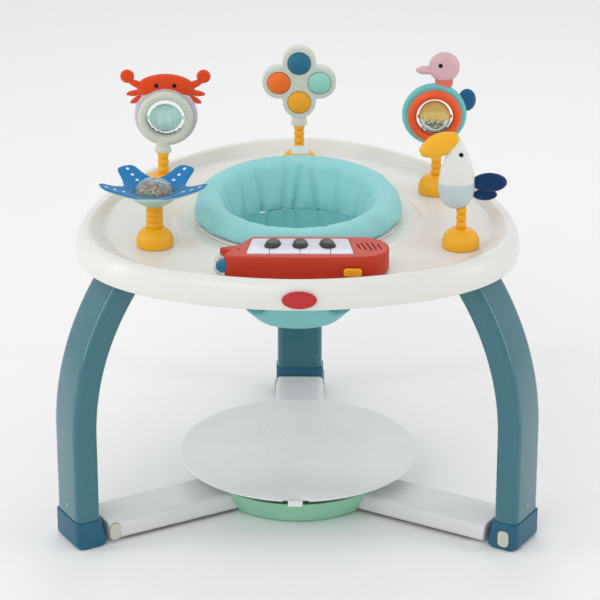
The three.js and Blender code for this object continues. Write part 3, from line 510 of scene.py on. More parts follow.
def tray_section(a):
    r = tray_edge(a)
    f = 291 + 8 * math.cos(3 * (a - math.pi / 2))
    section = [(r - 6, 422), (r - 2.5, 422), (r, 437), (r - 3, 452), (r - 8, 460), (r - 16, 464.6),
               (r - 23, 463), (f + 1.5, 447.5), (f - 5, 444.6), (190, 444.6), (184, 449.5), (148, 449.5),
               (148, 437), (152, 437), (152, 446.2), (184, 446.2), (189, 441.3), (f - 7, 441.3), (f + 4, 444),
               (r - 20, 459.8), (r - 8, 453), (r - 4, 437)]
    return [(p.x * math.cos(a), p.x * math.sin(a), p.y) for p in softened(section, 9, 4, True)]


tray = skinned("tray_shell", [tray_section(2 * math.pi * i / 288) for i in range(288)], looped=True)
sockets, leg_ends = [], []
for angle in stations.values():
    a = math.radians(angle)
    stand = (foot_radius * math.cos(a), foot_radius * math.sin(a), 0)
    sockets.append(brick("socket", (-109, -42, 417), (-53, 42, 442.8), a, stand, edge=6))
    leg_ends.append(skinned("leg_end", [on_leg(r, angle) for r in leg_rings(0.3)]))
combined(tray, sockets, "UNION")
holes = [turned("plug_hole", [(0, 430), (9.5, 430), (9.5, 460), (0, 460)], 32, (x, y, 0))
         for x, y in toy_places.values()]
combined(tray, leg_ends + holes + [brick("piano_hole", (-40.5, -232.5, 425), (50.5, -207.5, 465))])
dressed(tray, tray_finish, "frame", "tray", slot="white_plastic")


# ---- Badge ----
# A blank oval badge in gloss red plastic, clipped to the front of the tray's rim.
badge_finish = moulded("gloss_red", 0xC0141F, rough=0.3, grain=0.05, gloss=0.25)
oval = [(25 * math.cos(t), 13.5 * math.sin(t)) for t in (2 * math.pi * i / 72 for i in range(72))]
badge = slab("badge", oval, 0, 3, 1.4, 5, "Y", (4, -310.95, 440))
dressed(badge, badge_finish, "frame", "tray_badge", slot="badge_red")


# ---- Seat ring and retainer ----
# The white ring that carries the seat turns on the tray's collar. A second ring screwed to
# it from below keeps it from lifting out.
ring_profile = [(140, 431), (146.5, 431), (146.5, 449.9), (157, 449.9), (157, 453), (140, 453)]
seat_ring = turned("seat_turning_ring", softened(ring_profile, 1, 2, True), 144, looped=True)
dressed(seat_ring, tray_finish, "seat", "seat_ring", slot="white_plastic")
retainer_profile = [(146.9, 431.5), (158, 431.5), (158, 434.5), (155, 436), (146.9, 436)]
retainer = turned("seat_retainer_ring", softened(retainer_profile, 1, 2, True), 144, looped=True)
dressed(retainer, tray_finish, "seat", "seat_retainer", slot="white_plastic")


# ---- Padded seat ring ----
# A thick ring of wadding in light aqua polyester, higher at the back. Its inner wall is
# gathered where it is sewn to the sling, so soft pleats run up from the bottom seam.
def woven(name, code, rough=0.88, drift=0.06, thread=1.1, weave=0.35, sheen=0.25, cloud=16):
    """Plain-woven cloth, its threads crossing along the three axes."""
    finish, place, _ = surface(name, code, rough, drift, cloud)
    nodes, links = finish.node_tree.nodes, finish.node_tree.links
    total = None
    for axis in "XYZ":
        wave = nodes.new("ShaderNodeTexWave")
        wave.bands_direction = axis
        wave.inputs["Scale"].default_value = 314 / thread
        wave.inputs["Distortion"].default_value = 0.6
        wave.inputs["Detail"].default_value = 1
        links.new(place.outputs["Object"], wave.inputs["Vector"])
        if total is None:
            total = wave.outputs["Fac"]
            continue
        crossing = nodes.new("ShaderNodeMath")
        links.new(total, crossing.inputs[0])
        links.new(wave.outputs["Fac"], crossing.inputs[1])
        total = crossing.outputs[0]
    embossed(finish, total, weave, 0.25)
    shader = nodes["Principled BSDF"]
    shader.inputs["Sheen Weight"].default_value = sheen
    shader.inputs["Sheen Roughness"].default_value = 0.4
    shader.inputs["Specular IOR Level"].default_value = 0.3
    return finish


def plumped(piece, voxel, cap, pressure=4.0):
    """Stuffs a padded piece with cloth pressure, no point moving further than cap."""
    remesh = piece.modifiers.new("cloth_grid", "REMESH")
    remesh.mode = "VOXEL"
    remesh.voxel_size = voxel / 1000
    settled(piece)
    count = len(piece.data.vertices)
    start = np.zeros(count * 3)
    piece.data.vertices.foreach_get("co", start)
    cloth = piece.modifiers.new("stuffing", "CLOTH")
    cloth.settings.use_pressure = True
    cloth.settings.uniform_pressure_force = pressure
    cloth.settings.effector_weights.gravity = 0
    for step in range(1, 21):
        bpy.context.scene.frame_set(step)
    graph = bpy.context.evaluated_depsgraph_get()
    end = np.zeros(count * 3)
    piece.evaluated_get(graph).data.vertices.foreach_get("co", end)
    move = (end - start).reshape(-1, 3)
    reach = np.linalg.norm(move, axis=1, keepdims=True)
    move *= np.minimum(1, cap / 1000 / np.maximum(reach, 1e-9))
    piece.modifiers.clear()
    bpy.context.scene.frame_set(1)
    piece.data.vertices.foreach_set("co", (start.reshape(-1, 3) + move).ravel())
    finer = piece.modifiers.new("finer", "SUBSURF")
    finer.levels = finer.render_levels = 1
    return settled(piece)


def reshaped(piece, rule):
    """Moves every point of a mesh by a rule on arrays of x, y and z in millimetres."""
    flat = np.zeros(len(piece.data.vertices) * 3)
    piece.data.vertices.foreach_get("co", flat)
    x, y, z = (flat.reshape(-1, 3) * 1000).T
    piece.data.vertices.foreach_set("co", (np.stack(rule(x, y, z), 1) / 1000).ravel())
    piece.data.update()
    return piece


aqua_cloth = woven("aqua_polyester", 0x9AD9DB, drift=0.04)
pad_rings = []
for i in range(120):
    a = 2 * math.pi * i / 120
    crest = 493.5 + 11 * math.sin(a)
    section = [(155, 456), (158, 464), (156, crest - 17), (149, crest - 5), (138, crest), (124, crest - 6),
               (110, 455), (101, 421), (112, 422), (130, 442), (138, 456)]
    pad_rings.append([(p.x * math.cos(a), p.x * math.sin(a), p.y) for p in softened(section, 8, 3, True)])
pad = plumped(skinned("seat_padded_ring", pad_rings, looped=True), 4.5, 4.5)

pleats_by_chance = random.Random(7)
pleats = []
for k in range(20):
    pleats.append((2 * math.pi * (k + pleats_by_chance.uniform(-0.28, 0.28)) / 20,
                   pleats_by_chance.uniform(-0.16, 0.16),
                   pleats_by_chance.uniform(3.0, 6.5), pleats_by_chance.uniform(0.75, 1.15)))


def gathered(x, y, z):
    r, a = np.hypot(x, y), np.arctan2(y, x)
    crest = 496 + 11 * np.sin(a)
    climb = np.clip((z - 420) / (crest - 420), 0, 1)
    inner = np.clip((138 - r) / 9, 0, 1)
    deepen, nearest = np.zeros_like(r), np.full_like(r, 9.0)
    for at, slant, depth, reach in pleats:
        away = (a - at - slant * climb + math.pi) % (2 * math.pi) - math.pi
        fade = np.clip(1.25 * (1 - climb / reach), 0, 1) ** 0.6
        deepen += depth * fade * np.exp(-(away * 112 / 3.4) ** 2)
        nearest = np.minimum(nearest, np.abs(away))
    deepen -= 2.6 * (1 - np.exp(-(nearest * 112 / 8) ** 2)) * np.clip(1.3 - climb, 0, 1)
    outer = np.clip((r - 140) / 12, 0, 1)
    ripple = 0.7 * np.sin(17 * a + 0.06 * z) * np.sin(5 * a) * outer + 0.5 * np.sin(9 * a + 2) * (1 - inner)
    skirt = np.clip((r - 152) / 5, 0, 1)
    flare = 2.5 * skirt * np.clip((464 - z) / 8, 0, 1)
    grown = np.maximum(r + deepen * inner - 0.4 * inner + ripple, 95) + flare
    low = np.where(r > 158, 450.2, np.where(r > 137.5, 453.3, 419))
    dip = 4.5 * skirt * np.clip((466 - z) / 10, 0, 1)
    return x * grown / r, y * grown / r, np.maximum(z + 0.6 * np.sin(13 * a) * outer - dip, low)


reshaped(pad, gathered)
close_up(pad, 80)
dressed(pad, aqua_cloth, "seat", "seat_pad", slot="seat_fabric")


# ---- Seat sling ----
# The bag the child sits in, sewn from two layers of the same cloth: a round top edge drawn
# in to a narrow crotch panel, with a bound hole for each leg and a seam down each side.
def sling_ring(t, inward):
    drop = (1 - math.cos(t * math.pi / 2)) ** 0.9
    z = 426.3 - t * 141 + inward * t
    ring = []
    for i in range(168):
        a = 2 * math.pi * i / 168
        pleat = 0.0
        for at, slant, depth, reach in pleats:
            away = (a - at + math.pi) % (2 * math.pi) - math.pi
            pleat += depth * math.exp(-(away * 90 / 4) ** 2)
        pleat *= 0.9 * max(0.0, 1 - 1.6 * t)
        seam = sum(math.exp(-(((a - s + math.pi) % (2 * math.pi) - math.pi) * 70 / 1.6) ** 2)
                   for s in (-2.15, -0.99, 0.99, 2.15)) * min(1, 4 * t)
        rx = 103.6 - 42 * t ** 4.5 - inward - pleat - 1.1 * seam
        ry = 103.6 - 60 * drop - inward - pleat - 1.1 * seam
        ring.append((rx * math.cos(a), ry * math.sin(a), z))
    return ring


def shrunk(ring, share, drop):
    return [(x * share, y * share, z - drop) for x, y, z in ring]


levels = [sling_ring(i / 40, 0) for i in range(41)]
lining = [sling_ring(i / 40, 3.4) for i in range(41)]
bottom = [shrunk(levels[-1], s, d) for s, d in ((0.96, 1.4), (0.7, 2.4), (0.35, 2.9), (0.05, 3))]
inside = [shrunk(lining[-1], s, d) for s, d in ((0.96, 0.9), (0.7, 1.6), (0.35, 2), (0.05, 2.1))]
outside = skinned("sling_outside", [*levels, *bottom], crease=60)
wall = BVHTree.FromPolygons([v.co.copy() for v in outside.data.vertices],
                            [tuple(f.vertices) for f in outside.data.polygons])
bpy.data.objects.remove(outside)
sling = skinned("seat_sling_bag", [*reversed(bottom), *reversed(levels), *lining, *inside], crease=60)


def piped(name, path, thick, sides=10, looped=True, crease=60):
    """A round cord or binding along a line of points."""
    line = [Vector(p) for p in path]
    count = len(line)
    rings = []
    side_way = None
    for i, point in enumerate(line):
        back = line[i - 1] if looped or i else point
        ahead = line[(i + 1) % count] if looped or i < count - 1 else point
        run = (ahead - back).normalized()
        if side_way is None:
            side_way = run.orthogonal().normalized()
        side_way = (side_way - run * side_way.dot(run)).normalized()
        up_way = run.cross(side_way)
        rings.append([tuple(point + thick * (side_way * math.cos(2 * math.pi * k / sides)
                                             + up_way * math.sin(2 * math.pi * k / sides)))
                      for k in range(sides)])
    return skinned(name, rings, looped=looped, crease=crease)


bindings = []
for s in (-1, 1):
    heading = math.atan2(-0.42, s)
    out = Vector((math.cos(heading) * math.cos(0.12), math.sin(heading) * math.cos(0.12), -math.sin(0.12)))
    centre = Vector((95 * s, -40, 344))
    across = out.cross(Vector((0, 0, 1))).normalized()
    upward = across.cross(out)
    rim_line = []
    for i in range(72):
        t = 2 * math.pi * i / 72
        start = centre + 44 * (across * math.cos(t) + upward * math.sin(t))
        hit = wall.ray_cast((start + out * 90) / 1000, -out)[0]
        rim_line.append((hit * 1000 if hit else start) - out * 1.6)
    bindings.append(piped(f"leg_hole_binding_{'left' if s < 0 else 'right'}", rim_line, 2.4))
    cutter = turned("leg_hole", [(0, -85), (44, -85), (44, 85), (0, 85)], 64)
    cutter.data.transform(Matrix.Translation(centre / 1000) @ out.to_track_quat("Z", "Y").to_matrix().to_4x4())
    combined(sling, [cutter], crease=60)
sling_cloth = woven("aqua_sling_cloth", 0x8ACED0, drift=0.05)
binding_cloth = woven("aqua_binding_tape", 0x7CC6CB, thread=0.8, weave=0.5)
dressed(sling, sling_cloth, "seat", "seat_sling", slot="seat_fabric")
for binding in bindings:
    dressed(binding, binding_cloth, "seat", slot="seat_fabric")


# ---- Seat stitching and label ----
# A row of polyester stitches holds the pad to the sling just above the bottom seam, and a
# blank folded label is caught in the seam at the back.
thread_finish = woven("aqua_thread", 0x9ADADC, thread=0.4, sheen=0.1)
stitch = turned("stitch_form", softened([(0, -1.3), (0.45, -1.1), (0.45, 1.1), (0, 1.3)], 0.3, 2), 6)
seam_points = BVHTree.FromPolygons([v.co.copy() for v in pad.data.vertices],
                                   [tuple(f.vertices) for f in pad.data.polygons])
spots = []
for k in range(186):
    a = 2 * math.pi * k / 186
    way = Vector((math.cos(a), math.sin(a), 0))
    hit = seam_points.ray_cast(Vector((0, 0, 0.4375)), way)[0]
    if hit:
        spots.append((tuple(hit * 1000 - way * 0.2), (-math.sin(a), math.cos(a), 0)))
dressed(strewn("seat_stitches", stitch, spots, 1.0, thread_finish), thread_finish, "seat", slot="seat_fabric")

label_cloth = woven("white_label", 0xF8F8FA, thread=0.5, sheen=0.1)
label_outline = softened([(-14, 0), (14, 0), (14, 13), (-14, 13)], 1.5, 3, True)
label = slab("seat_label", label_outline, 0, 0.7, 0.2, 1, "Y", (2, 151.5, 499))
dressed(label, label_cloth, "seat", slot="seat_fabric")


# ---- Toy piano ----
# A low orange-red case with one straight sloping end, a round end with speaker slots, a
# small pointed fin at the left, and a plug underneath that clips it into the tray.
piano_finish = moulded("piano_red_plastic", 0xC23C22, rough=0.45, drift=0.03, grain=0.7, pitch=0.9)


def bowed(start, pull, end, steps=14):
    """Points of a bent line from start towards end, without its last point."""
    a, b, c = Vector(start), Vector(pull), Vector(end)
    return [a * (1 - t) ** 2 + b * 2 * t * (1 - t) + c * t * t for t in (i / steps for i in range(steps))]


def piano_outline(wall):
    back, front, middle = -174 - wall, -256 + wall, -215
    r = 41 - wall
    left = [Vector((-66 + 0.6 * wall, back)), Vector((-101 + 1.4 * wall, front + 17))]
    line = [left[0] + (left[1] - left[0]) * t for t in (0, 0.35, 0.7)]
    line += bowed(left[1], (-108 + 1.4 * wall, front + 6), (-97 + wall, front + 2), 8)
    line += bowed((-97 + wall, front + 2), (5, front - 6), (92, front), 30)
    line += [Vector((92 + r * math.cos(t), middle + r * math.sin(t)))
             for t in (math.pi * (i / 40 - 0.5) for i in range(41))]
    return line


def key_bed(grow, soft=6):
    corners = [(-65 - grow, -184 + grow), (-73 - grow, -244.5 - grow), (82 + grow, -244.5 - grow),
               (74 + grow, -184 + grow)]
    return softened(corners, soft, 6, True)


case = slab("piano_case", piano_outline(0), 450.5, 484, 2.2, 5)
fin = slab("fin", softened([(-113, -208), (-90, -222), (-78, -205), (-84, -196)], 4, 4, True), 466, 480, 2.5, 4)
combined(case, [fin], "UNION")
speaker_slots = []
for i in range(5):
    reach = (11, 15, 17, 15, 11)[i]
    speaker_slots.append(brick("slot", (-1.1, -reach, 476), (1.1, reach, 490), 0.24,
                               (89 + 7.4 * i, -213, 0), edge=0.9))
cut_tools = [slab("hollow", piano_outline(2.5), 440, 481.5, 1.5, 2),
             slab("window", key_bed(0.7), 474, 490, 0.1, 1),
             *speaker_slots, brick("switch_slot", (70, -270, 460), (90, -248, 466)),
             brick("roller_slot", (-125, -251.6, 455.5), (-94.5, -238.2, 478)),
             turned("dimple", [(0, 483.2), (3.2, 483.2), (3.4, 490), (0, 490)], 28, (-84, -226, 0))]
combined(case, cut_tools)
dressed(case, piano_finish, "frame", "piano_case", slot="piano_red")
for part, finish in (("piano_base", piano_finish),
                     ("piano_board", moulded("board_green", 0x2C6B45, rough=0.5, grain=0.6)),
                     ("piano_speaker", moulded("speaker_black", 0x2B2B2D, rough=0.7, grain=0.8))):
    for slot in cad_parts[part].material_slots:
        slot.material = finish


# ---- Piano keys ----
# Four off-white keys fill one rounded window, with hairline gaps between them. Three black
# keys, long domed ovals, stand in notches where the white keys meet.
white_key_finish = moulded("key_ivory", 0xD2D4DF, rough=0.32, drift=0.02, grain=0.1, gloss=0.3)
black_key_finish = moulded("key_black_plastic", 0x3C3C3F, rough=0.38, drift=0.1, grain=0.5)
key_edges, black_places = (-90, -39, 4.6, 48.2, 100), (-35, 4.6, 44)


def oval_plan(x, y, half_x, half_y, steps=48):
    """An oblong with round ends, fanned out towards the piano's middle."""
    plan = []
    lean = 0.0065 * (x - 4.6)
    for i in range(steps):
        t = 2 * math.pi * i / steps
        c, s = math.cos(t), math.sin(t)
        px, py = half_x * math.copysign(abs(c) ** 0.85, c), half_y * math.copysign(abs(s) ** 0.8, s)
        plan.append(Vector((x + px * math.cos(lean) - py * math.sin(lean),
                            y + px * math.sin(lean) + py * math.cos(lean))))
    return plan


for i in range(4):
    key = slab(f"white_key_{i + 1}", key_bed(0), 477, 485, 0.9, 3)
    lanes = [brick("lane", (-200, -300, 470), (key_edges[i] + 0.4, -100, 490)),
             brick("lane", (key_edges[i + 1] - 0.4, -300, 470), (200, -100, 490))]
    notches = [slab("notch", oval_plan(x, -209.5, 11.4, 16.4), 470, 492, 0.1, 1) for x in black_places]
    combined(key, lanes + notches)
    dressed(key, white_key_finish, f"white_{i + 1}", f"key_white_{i + 1}", slot="key_white")
for i, x in enumerate(black_places):
    rings = []
    for z, share in ((476, 0.96), (476.6, 1), (486, 0.98), (488.4, 0.93), (489.9, 0.83), (490.7, 0.66),
                     (491.1, 0.4), (491.2, 0.1)):
        rings.append([(x + (p.x - x) * share, -209.5 + (p.y + 209.5) * share, z)
                      for p in oval_plan(x, -209.5, 10.5, 15.4)])
    dressed(skinned(f"black_key_{i + 1}", rings), black_key_finish, f"black_{i + 1}", f"key_black_{i + 1}",
            slot="key_black")


# ---- Mode switch and roller ----
# A yellow slider with finger ridges on the piano's front, and a ribbed blue roller at the
# left end behind a small clear guard.
yellow_finish = moulded("warm_yellow", 0xF3B01C, rough=0.42, drift=0.03, grain=0.3)
blue_finish = moulded("roller_blue", 0x127CA8, rough=0.25, gloss=0.4)
knob = slab("switch_knob", softened([(-13, -6), (13, -6), (13, 6), (-13, 6)], 5, 6, True), 0, 4.2, 1.4, 4, "Y",
            (80, -261.2, 463))
ridges = [brick("ridge", (80 + r - 0.5, -266, 459.5), (80 + r + 0.5, -264.8, 466.5))
          for r in (-5, -2.5, 0, 2.5, 5)]
combined(knob, ridges)
combined(knob, [brick("stem", (77, -262, 461), (83, -250, 465))], "UNION")
dressed(knob, yellow_finish, "switch", "mode_switch", slot="yellow")
rib_rings = []
for y, share in ((-250.8, 0.8), (-249.6, 1), (-240.4, 1), (-239.2, 0.8)):
    rib_rings.append([(-106 + share * (9.7 + 0.3 * math.cos(18 * t)) * math.cos(t), y,
                       467 + share * (9.7 + 0.3 * math.cos(18 * t)) * math.sin(t))
                      for t in (2 * math.pi * i / 144 for i in range(144))])
dressed(skinned("roller_drum", rib_rings), blue_finish, "roller", "roller_wheel", slot="blue")


def see_through(name, code, rough=0.08, ior=1.45, through=0.9):
    """Clear moulded plastic."""
    finish, _, _ = surface(name, code, rough, 0.02, 30)
    shader = finish.node_tree.nodes["Principled BSDF"]
    shader.inputs["Transmission Weight"].default_value = through
    shader.inputs["IOR"].default_value = ior
    return finish


clear_finish = see_through("clear_guard", 0xF2F8F8)
guard = []
for i in range(25):
    t = math.pi * (0.5 + i / 24)
    guard.append([(-106 + r * math.cos(t), y, 467 + r * math.sin(t))
                  for r, y in ((12.2, -254), (13.4, -254), (13.4, -236), (12.2, -236))])
dressed(skinned("roller_guard", guard), clear_finish, "frame", "roller_cover", slot="clear")


# ---- Toy bases and bending stems ----
# Each toy stands on a yellow dome that plugs into the tray, and a soft ringed stem of
# thermoplastic rubber joins the dome to the toy, so the toy sways and springs back.
stem_finish = moulded("yellow_rubber", 0xF2AC1E, rough=0.5, drift=0.05, grain=0.4)
stems = {"star": (12.8, 511, 4, 1.9), "crab": (8.8, 509, 3, 2.4), "clover": (8.4, 517, 4, 2.2),
         "seahorse": (8.2, 513, 4, 2.2), "toucan": (7.8, 507, 3, 2.6)}
stem_low = 473.2
for toy, (r, top, beads, swell) in stems.items():
    x, y = toy_places[toy]
    dome = [(0, 436.8), (9, 436.8), (9, 445), (26.6, 445), (27.6, 446.2), (27.8, 453), (27, 458.5),
            (24.4, 464), (20.4, 468.6), (15.8, 471.8), (r + 1, 473.6), (0, 474)]
    base = turned(f"{toy}_dome", softened(dome, 3.5, 4), 96, (x, y, 0))
    dressed(base, yellow_finish, "frame", f"{toy}_base", slot="yellow")
    line = []
    for i in range(beads * 14 + 1):
        t = i / (beads * 14)
        bead = swell * abs(math.sin(math.pi * beads * t)) ** 0.6
        line.append((r - swell + bead, stem_low + (top - stem_low) * t))
    stem = turned(f"{toy}_bending_stem", [(0, stem_low), *line, (0, top)], 48, (x, y, 0), crease=50)
    stem.data.materials.append(stem_finish)
    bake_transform(stem)
    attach(stem, "frame")


# ---- Star toy ----
# A mint cup on the thick stem holds a clear dome of loose beads. Five padded cloth arms,
# blue with evenly spaced white dots, spread from it over a pale mint lining.
def pillow(outline, middle, thick, edge, fine=3.0, flat=False, hole=None, drop=1.0):
    """A stuffed cloth form sewn from two layers, drawn facing the front or lying flat."""
    line = [Vector(p).to_2d() for p in outline]
    fence = []
    for i, p in enumerate(line):
        q = line[(i + 1) % len(line)]
        pieces = max(1, round((q - p).length / fine))
        fence += [p + (q - p) * k / pieces for k in range(pieces)]
    count = len(fence)
    edges = [(i, (i + 1) % count) for i in range(count)]
    ways = np.array([[p.x, p.y] for p in fence])
    ends = np.roll(ways, -1, 0)
    low, high = ways.min(0), ways.max(0)
    inner = []
    for i in range(int((high[0] - low[0]) / fine) + 2):
        for j in range(int((high[1] - low[1]) / (fine * 0.87)) + 2):
            inner.append((low[0] + fine * (i + 0.5 * (j % 2)), low[1] + 0.87 * fine * j))
    inner = np.array(inner)

    def depth(points):
        run = ends - ways
        away = points[:, None, :] - ways[None, :, :]
        t = np.clip((away * run).sum(2) / np.maximum((run * run).sum(1), 1e-9), 0, 1)
        return np.sqrt((((away - t[:, :, None] * run) ** 2).sum(2)).min(1))

    def within(points):
        x, y = points[:, :1], points[:, 1:]
        up = (ways[:, 1] > y) != (ends[:, 1] > y)
        cross = ways[:, 0] + (y - ways[:, 1]) * (ends[:, 0] - ways[:, 0]) / np.where(
            ends[:, 1] == ways[:, 1], 1e9, ends[:, 1] - ways[:, 1])
        return (up & (x < cross)).sum(1) % 2 == 1

    inner = inner[within(inner)]
    inner = inner[depth(inner) > 0.55 * fine]
    spots, _, faces, *_ = delaunay_2d_cdt([*fence, *(Vector(p) for p in inner)], edges, [], 1, 1e-5)
    flatland = np.array([[p.x, p.y] for p in spots])
    deep = depth(flatland)
    deep[deep < 1e-4] = 0
    centres = np.array([flatland[list(f)].mean(0) for f in faces])
    kept = within(centres)
    if hole:
        kept &= np.hypot(centres[:, 0] - hole[0], centres[:, 1] - hole[1]) > hole[2]
    rise = thick * np.sqrt(np.clip(1 - (1 - np.clip(deep / edge, 0, 1)) ** 2, 0, 1)) ** drop
    points, skins = [], []
    for side in (1, -1):
        for (px, py), h in zip(flatland, rise):
            points.append((px, py, middle + side * h) if flat else (px, middle - side * h, py))
    total = len(flatland)
    for face, keep in zip(faces, kept):
        if keep:
            skins.append(tuple(face))
            skins.append(tuple(i + total for i in reversed(face)))
    return points, skins, total


def stuffed(name, outline, middle, thick, edge, finish, body, shift=(0, 0, 0), fine=3.0):
    """A pillow as a finished padded piece."""
    points, skins, _ = pillow(outline, middle, thick, edge, fine)
    piece = made(name, [(x + shift[0], y + shift[1], z + shift[2]) for x, y, z in points], skins, 70)
    piece.data.materials.append(finish)
    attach(piece, body)
    return piece


sx, sy = toy_places["star"]
cup_finish = moulded("mint_cup", 0xA9D0BC, rough=0.45)
cup_line = [(0, 507.5), (12.5, 507.5), (15, 508.6), (24, 513.5), (32, 519.5), (37, 524.6), (34, 525.8),
            (27, 527.2), (0, 527.2)]
cup = turned("star_cup_bowl", softened(cup_line, 2.5, 4), 96, (sx, sy, 0))
dressed(cup, cup_finish, "star_head", "star_cup", slot="cup_mint")

bright_cloth = woven("star_blue_cloth", 0x0E7DB8, thread=0.9, drift=0.06)
lining_cloth = woven("star_mint_lining", 0xBFDDD6, thread=0.9)
arm_headings = [math.radians(54 + 72 * k) for k in range(5)]
star_line = []
for heading in arm_headings:
    for far, across in ((38, -27), (56, -20), (75, -16), (80.5, -11), (82, 0), (80.5, 11), (75, 16),
                        (56, 20)):
        star_line.append((far * math.cos(heading) - across * math.sin(heading),
                          far * math.sin(heading) + across * math.cos(heading)))
star_line = softened(star_line, 7, 3, True)
points, skins, total = pillow(star_line, 0, 2.6, 6, 2.6, flat=True, hole=(0, 0, 29.5))


def cupped(x, y, z):
    r = math.hypot(x, y)
    return sx + x, sy + y, 526 + 0.30 * max(0, r - 29) + 0.0026 * max(0, r - 42) ** 2 + z


arms = bpy.data.meshes.new("star_arms")
arms.from_pydata([tuple(c / 1000 for c in cupped(*p)) for p in points], [], skins)
star_arms = bpy.data.objects.new("star_cloth_arms", arms)
bpy.context.scene.collection.objects.link(star_arms)
close_up(star_arms, 70)
for cloth in (bright_cloth, lining_cloth):
    star_arms.data.materials.append(cloth)
for face in star_arms.data.polygons:
    face.material_index = 1 if face.normal.z < -0.1 else 0
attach(star_arms, "star_head")
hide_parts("star_arms")

dot_cloth = woven("white_dot_print", 0xEDF2F4, thread=0.9, sheen=0.1)
arm_skin = BVHTree.FromPolygons([v.co.copy() for v in star_arms.data.vertices],
                                [tuple(f.vertices) for f in star_arms.data.polygons])
spots = []
for a, far in ((heading, far) for heading in arm_headings for far in (46, 59, 72)):
    point = Vector((sx + far * math.cos(a), sy + far * math.sin(a), 600))
    hit, normal, *_ = arm_skin.ray_cast(point / 1000, Vector((0, 0, -1)))
    if hit:
        spots.append((tuple(hit * 1000), tuple(normal if normal.z > 0 else -normal)))
dot = turned("dot_form", [(0, -0.3), (2.6, -0.3), (2.6, 0.12), (2.3, 0.22), (0, 0.25)], 24)
dressed(strewn("star_printed_dots", dot, spots, 1.0, dot_cloth), dot_cloth, "star_head", slot="star_fabric")

dome_finish = see_through("clear_bead_dome", 0xEAF3F0, rough=0.05, ior=1.3)
dome_line = [(27.6, 527.6), (28.6, 527.6), (28.6, 530), (27, 536), (22.5, 541.6), (15.5, 545.8), (7.5, 547.8),
             (0.1, 548.2), (0.1, 547.2), (7.5, 546.8), (15, 544.9), (21.7, 541), (26.1, 535.6), (27.6, 530)]
star_dome = turned("star_clear_dome", softened(dome_line, 1, 2, False), 96, (sx, sy, 0), looped=True)
dressed(star_dome, dome_finish, "star_head", "star_bead_dome", slot="clear")


def bead_heap(name, count, place, body, palette, size=2.0, seed=3):
    """Small round beads, one piece for each colour."""
    chance = random.Random(seed)
    heaps = {code: [] for code in palette}
    for k in range(count):
        heaps[palette[k % len(palette)]].append((place(chance), (0, 0, 1)))
    for k, (code, spots) in enumerate(heaps.items()):
        bead = turned("bead_form", [(size * math.sin(math.pi * i / 8), -size * math.cos(math.pi * i / 8))
                                    for i in range(9)], 14, crease=80)
        finish = moulded(f"{name}_colour_{k + 1}", code, rough=0.3, grain=0.05)
        dressed(strewn(f"{name}_{k + 1}", bead, spots, 1.0, finish), finish, body, slot="clear")


def in_dome(chance):
    r, t = 23.5 * math.sqrt(chance.random()), chance.uniform(0, 2 * math.pi)
    return sx + r * math.cos(t), sy + r * math.sin(t), 530 + chance.uniform(0, 1) * (10 - 0.014 * r * r)


bead_heap("star_beads", 170, in_dome, "star_head", (0xE8623C, 0xF3EFE6, 0xD8433C, 0x8FCDC2, 0xF0B45A))


# ---- Crab toy ----
# A pale ring on a stepped neck holds a ribbed see-through barrel on two pins. Behind it are
# a round lilac cloth backing and a plain stuffed orange crab with two dot eyes.
cx, cy = toy_places["crab"]
ring_finish = moulded("grey_green_ring", 0xCDD2C6, rough=0.42, grain=0.3)


def toy_ring(name, place, ring, outer, inner, depth, neck, neck_low, finish, body, node, slot, round_face=False):
    """A ring that faces the front, with its stepped neck over the stem."""
    (x, y), (ring_x, z) = place, ring
    d = depth / 2
    if round_face:
        loop = [((outer + inner) / 2 + (outer - inner) / 2 * math.cos(t),
                 d * math.copysign(abs(math.sin(t)) ** 0.8, math.sin(t)))
                for t in (2 * math.pi * i / 40 for i in range(40))]
    else:
        loop = softened([(inner, 2 - d), (inner + 2.5, -d), (outer - 4.5, -d), (outer, 4 - d), (outer, d - 4),
                         (outer - 4.5, d), (inner + 2.5, d), (inner, d - 2)], 1.6, 4, True)
    piece = turned(name, loop, 120, (x + ring_x, y, z), "Y", looped=True)
    line = [(0, neck_low), (neck - 1.4, neck_low), (neck, neck_low + 1.5), (neck, neck_low + 6),
            (neck - 2.2, neck_low + 8.5), (neck - 2.2, neck_low + 14), (neck - 1, z - outer + 5),
            (0, z - outer + 5)]
    collar = turned("neck", softened(line, 1.2, 3), 64)
    oval_depth = Matrix.Diagonal((1, 0.62, 1, 1))
    collar.data.transform(Matrix.Translation((x / 1000, y / 1000, 0)) @ oval_depth)
    combined(piece, [collar], "UNION")
    return dressed(piece, finish, body, node, slot=slot)


crab_ring = (5, 563)
toy_ring("crab_rattle_ring", (cx, cy), crab_ring, 43, 29.5, 14, 13, 506.5, ring_finish, "crab_head", "crab_ring",
         "grey_green")
barrel_finish = see_through("ribbed_teal", 0xC4EAE3, rough=0.12, ior=1.25, through=0.88)
barrel_line = [(0, -28.4), (2.6, -28.4), (2.6, -25.6)]
for i in range(121):
    t = -1 + 2 * i / 120
    swell, rib = 21.4 * (1 - abs(t) ** 2.4) ** 0.62, 1 + 0.035 * math.cos(60 * t)
    barrel_line.append((swell * rib + 2.6 * abs(t) ** 8, 25 * t))
barrel_line += [(2.6, 25.6), (2.6, 28.4), (0, 28.4)]
barrel = turned("crab_ribbed_barrel", barrel_line, 72, (cx + crab_ring[0], cy, crab_ring[1]), "X", crease=60)
dressed(barrel, barrel_finish, "crab_barrel", "crab_spinner", slot="spinner_teal")

lilac_cloth = woven("lilac_cloth", 0xCFC6D2, thread=0.8)
crab_cloth = woven("orange_fleece", 0xE4512B, thread=1.3, weave=0.7, sheen=0.5, drift=0.1, cloud=40)


def oval(x, z, half_x, half_z, count=72):
    return [(x + half_x * math.cos(t), z + half_z * math.sin(t))
            for t in (2 * math.pi * i / count for i in range(count))]


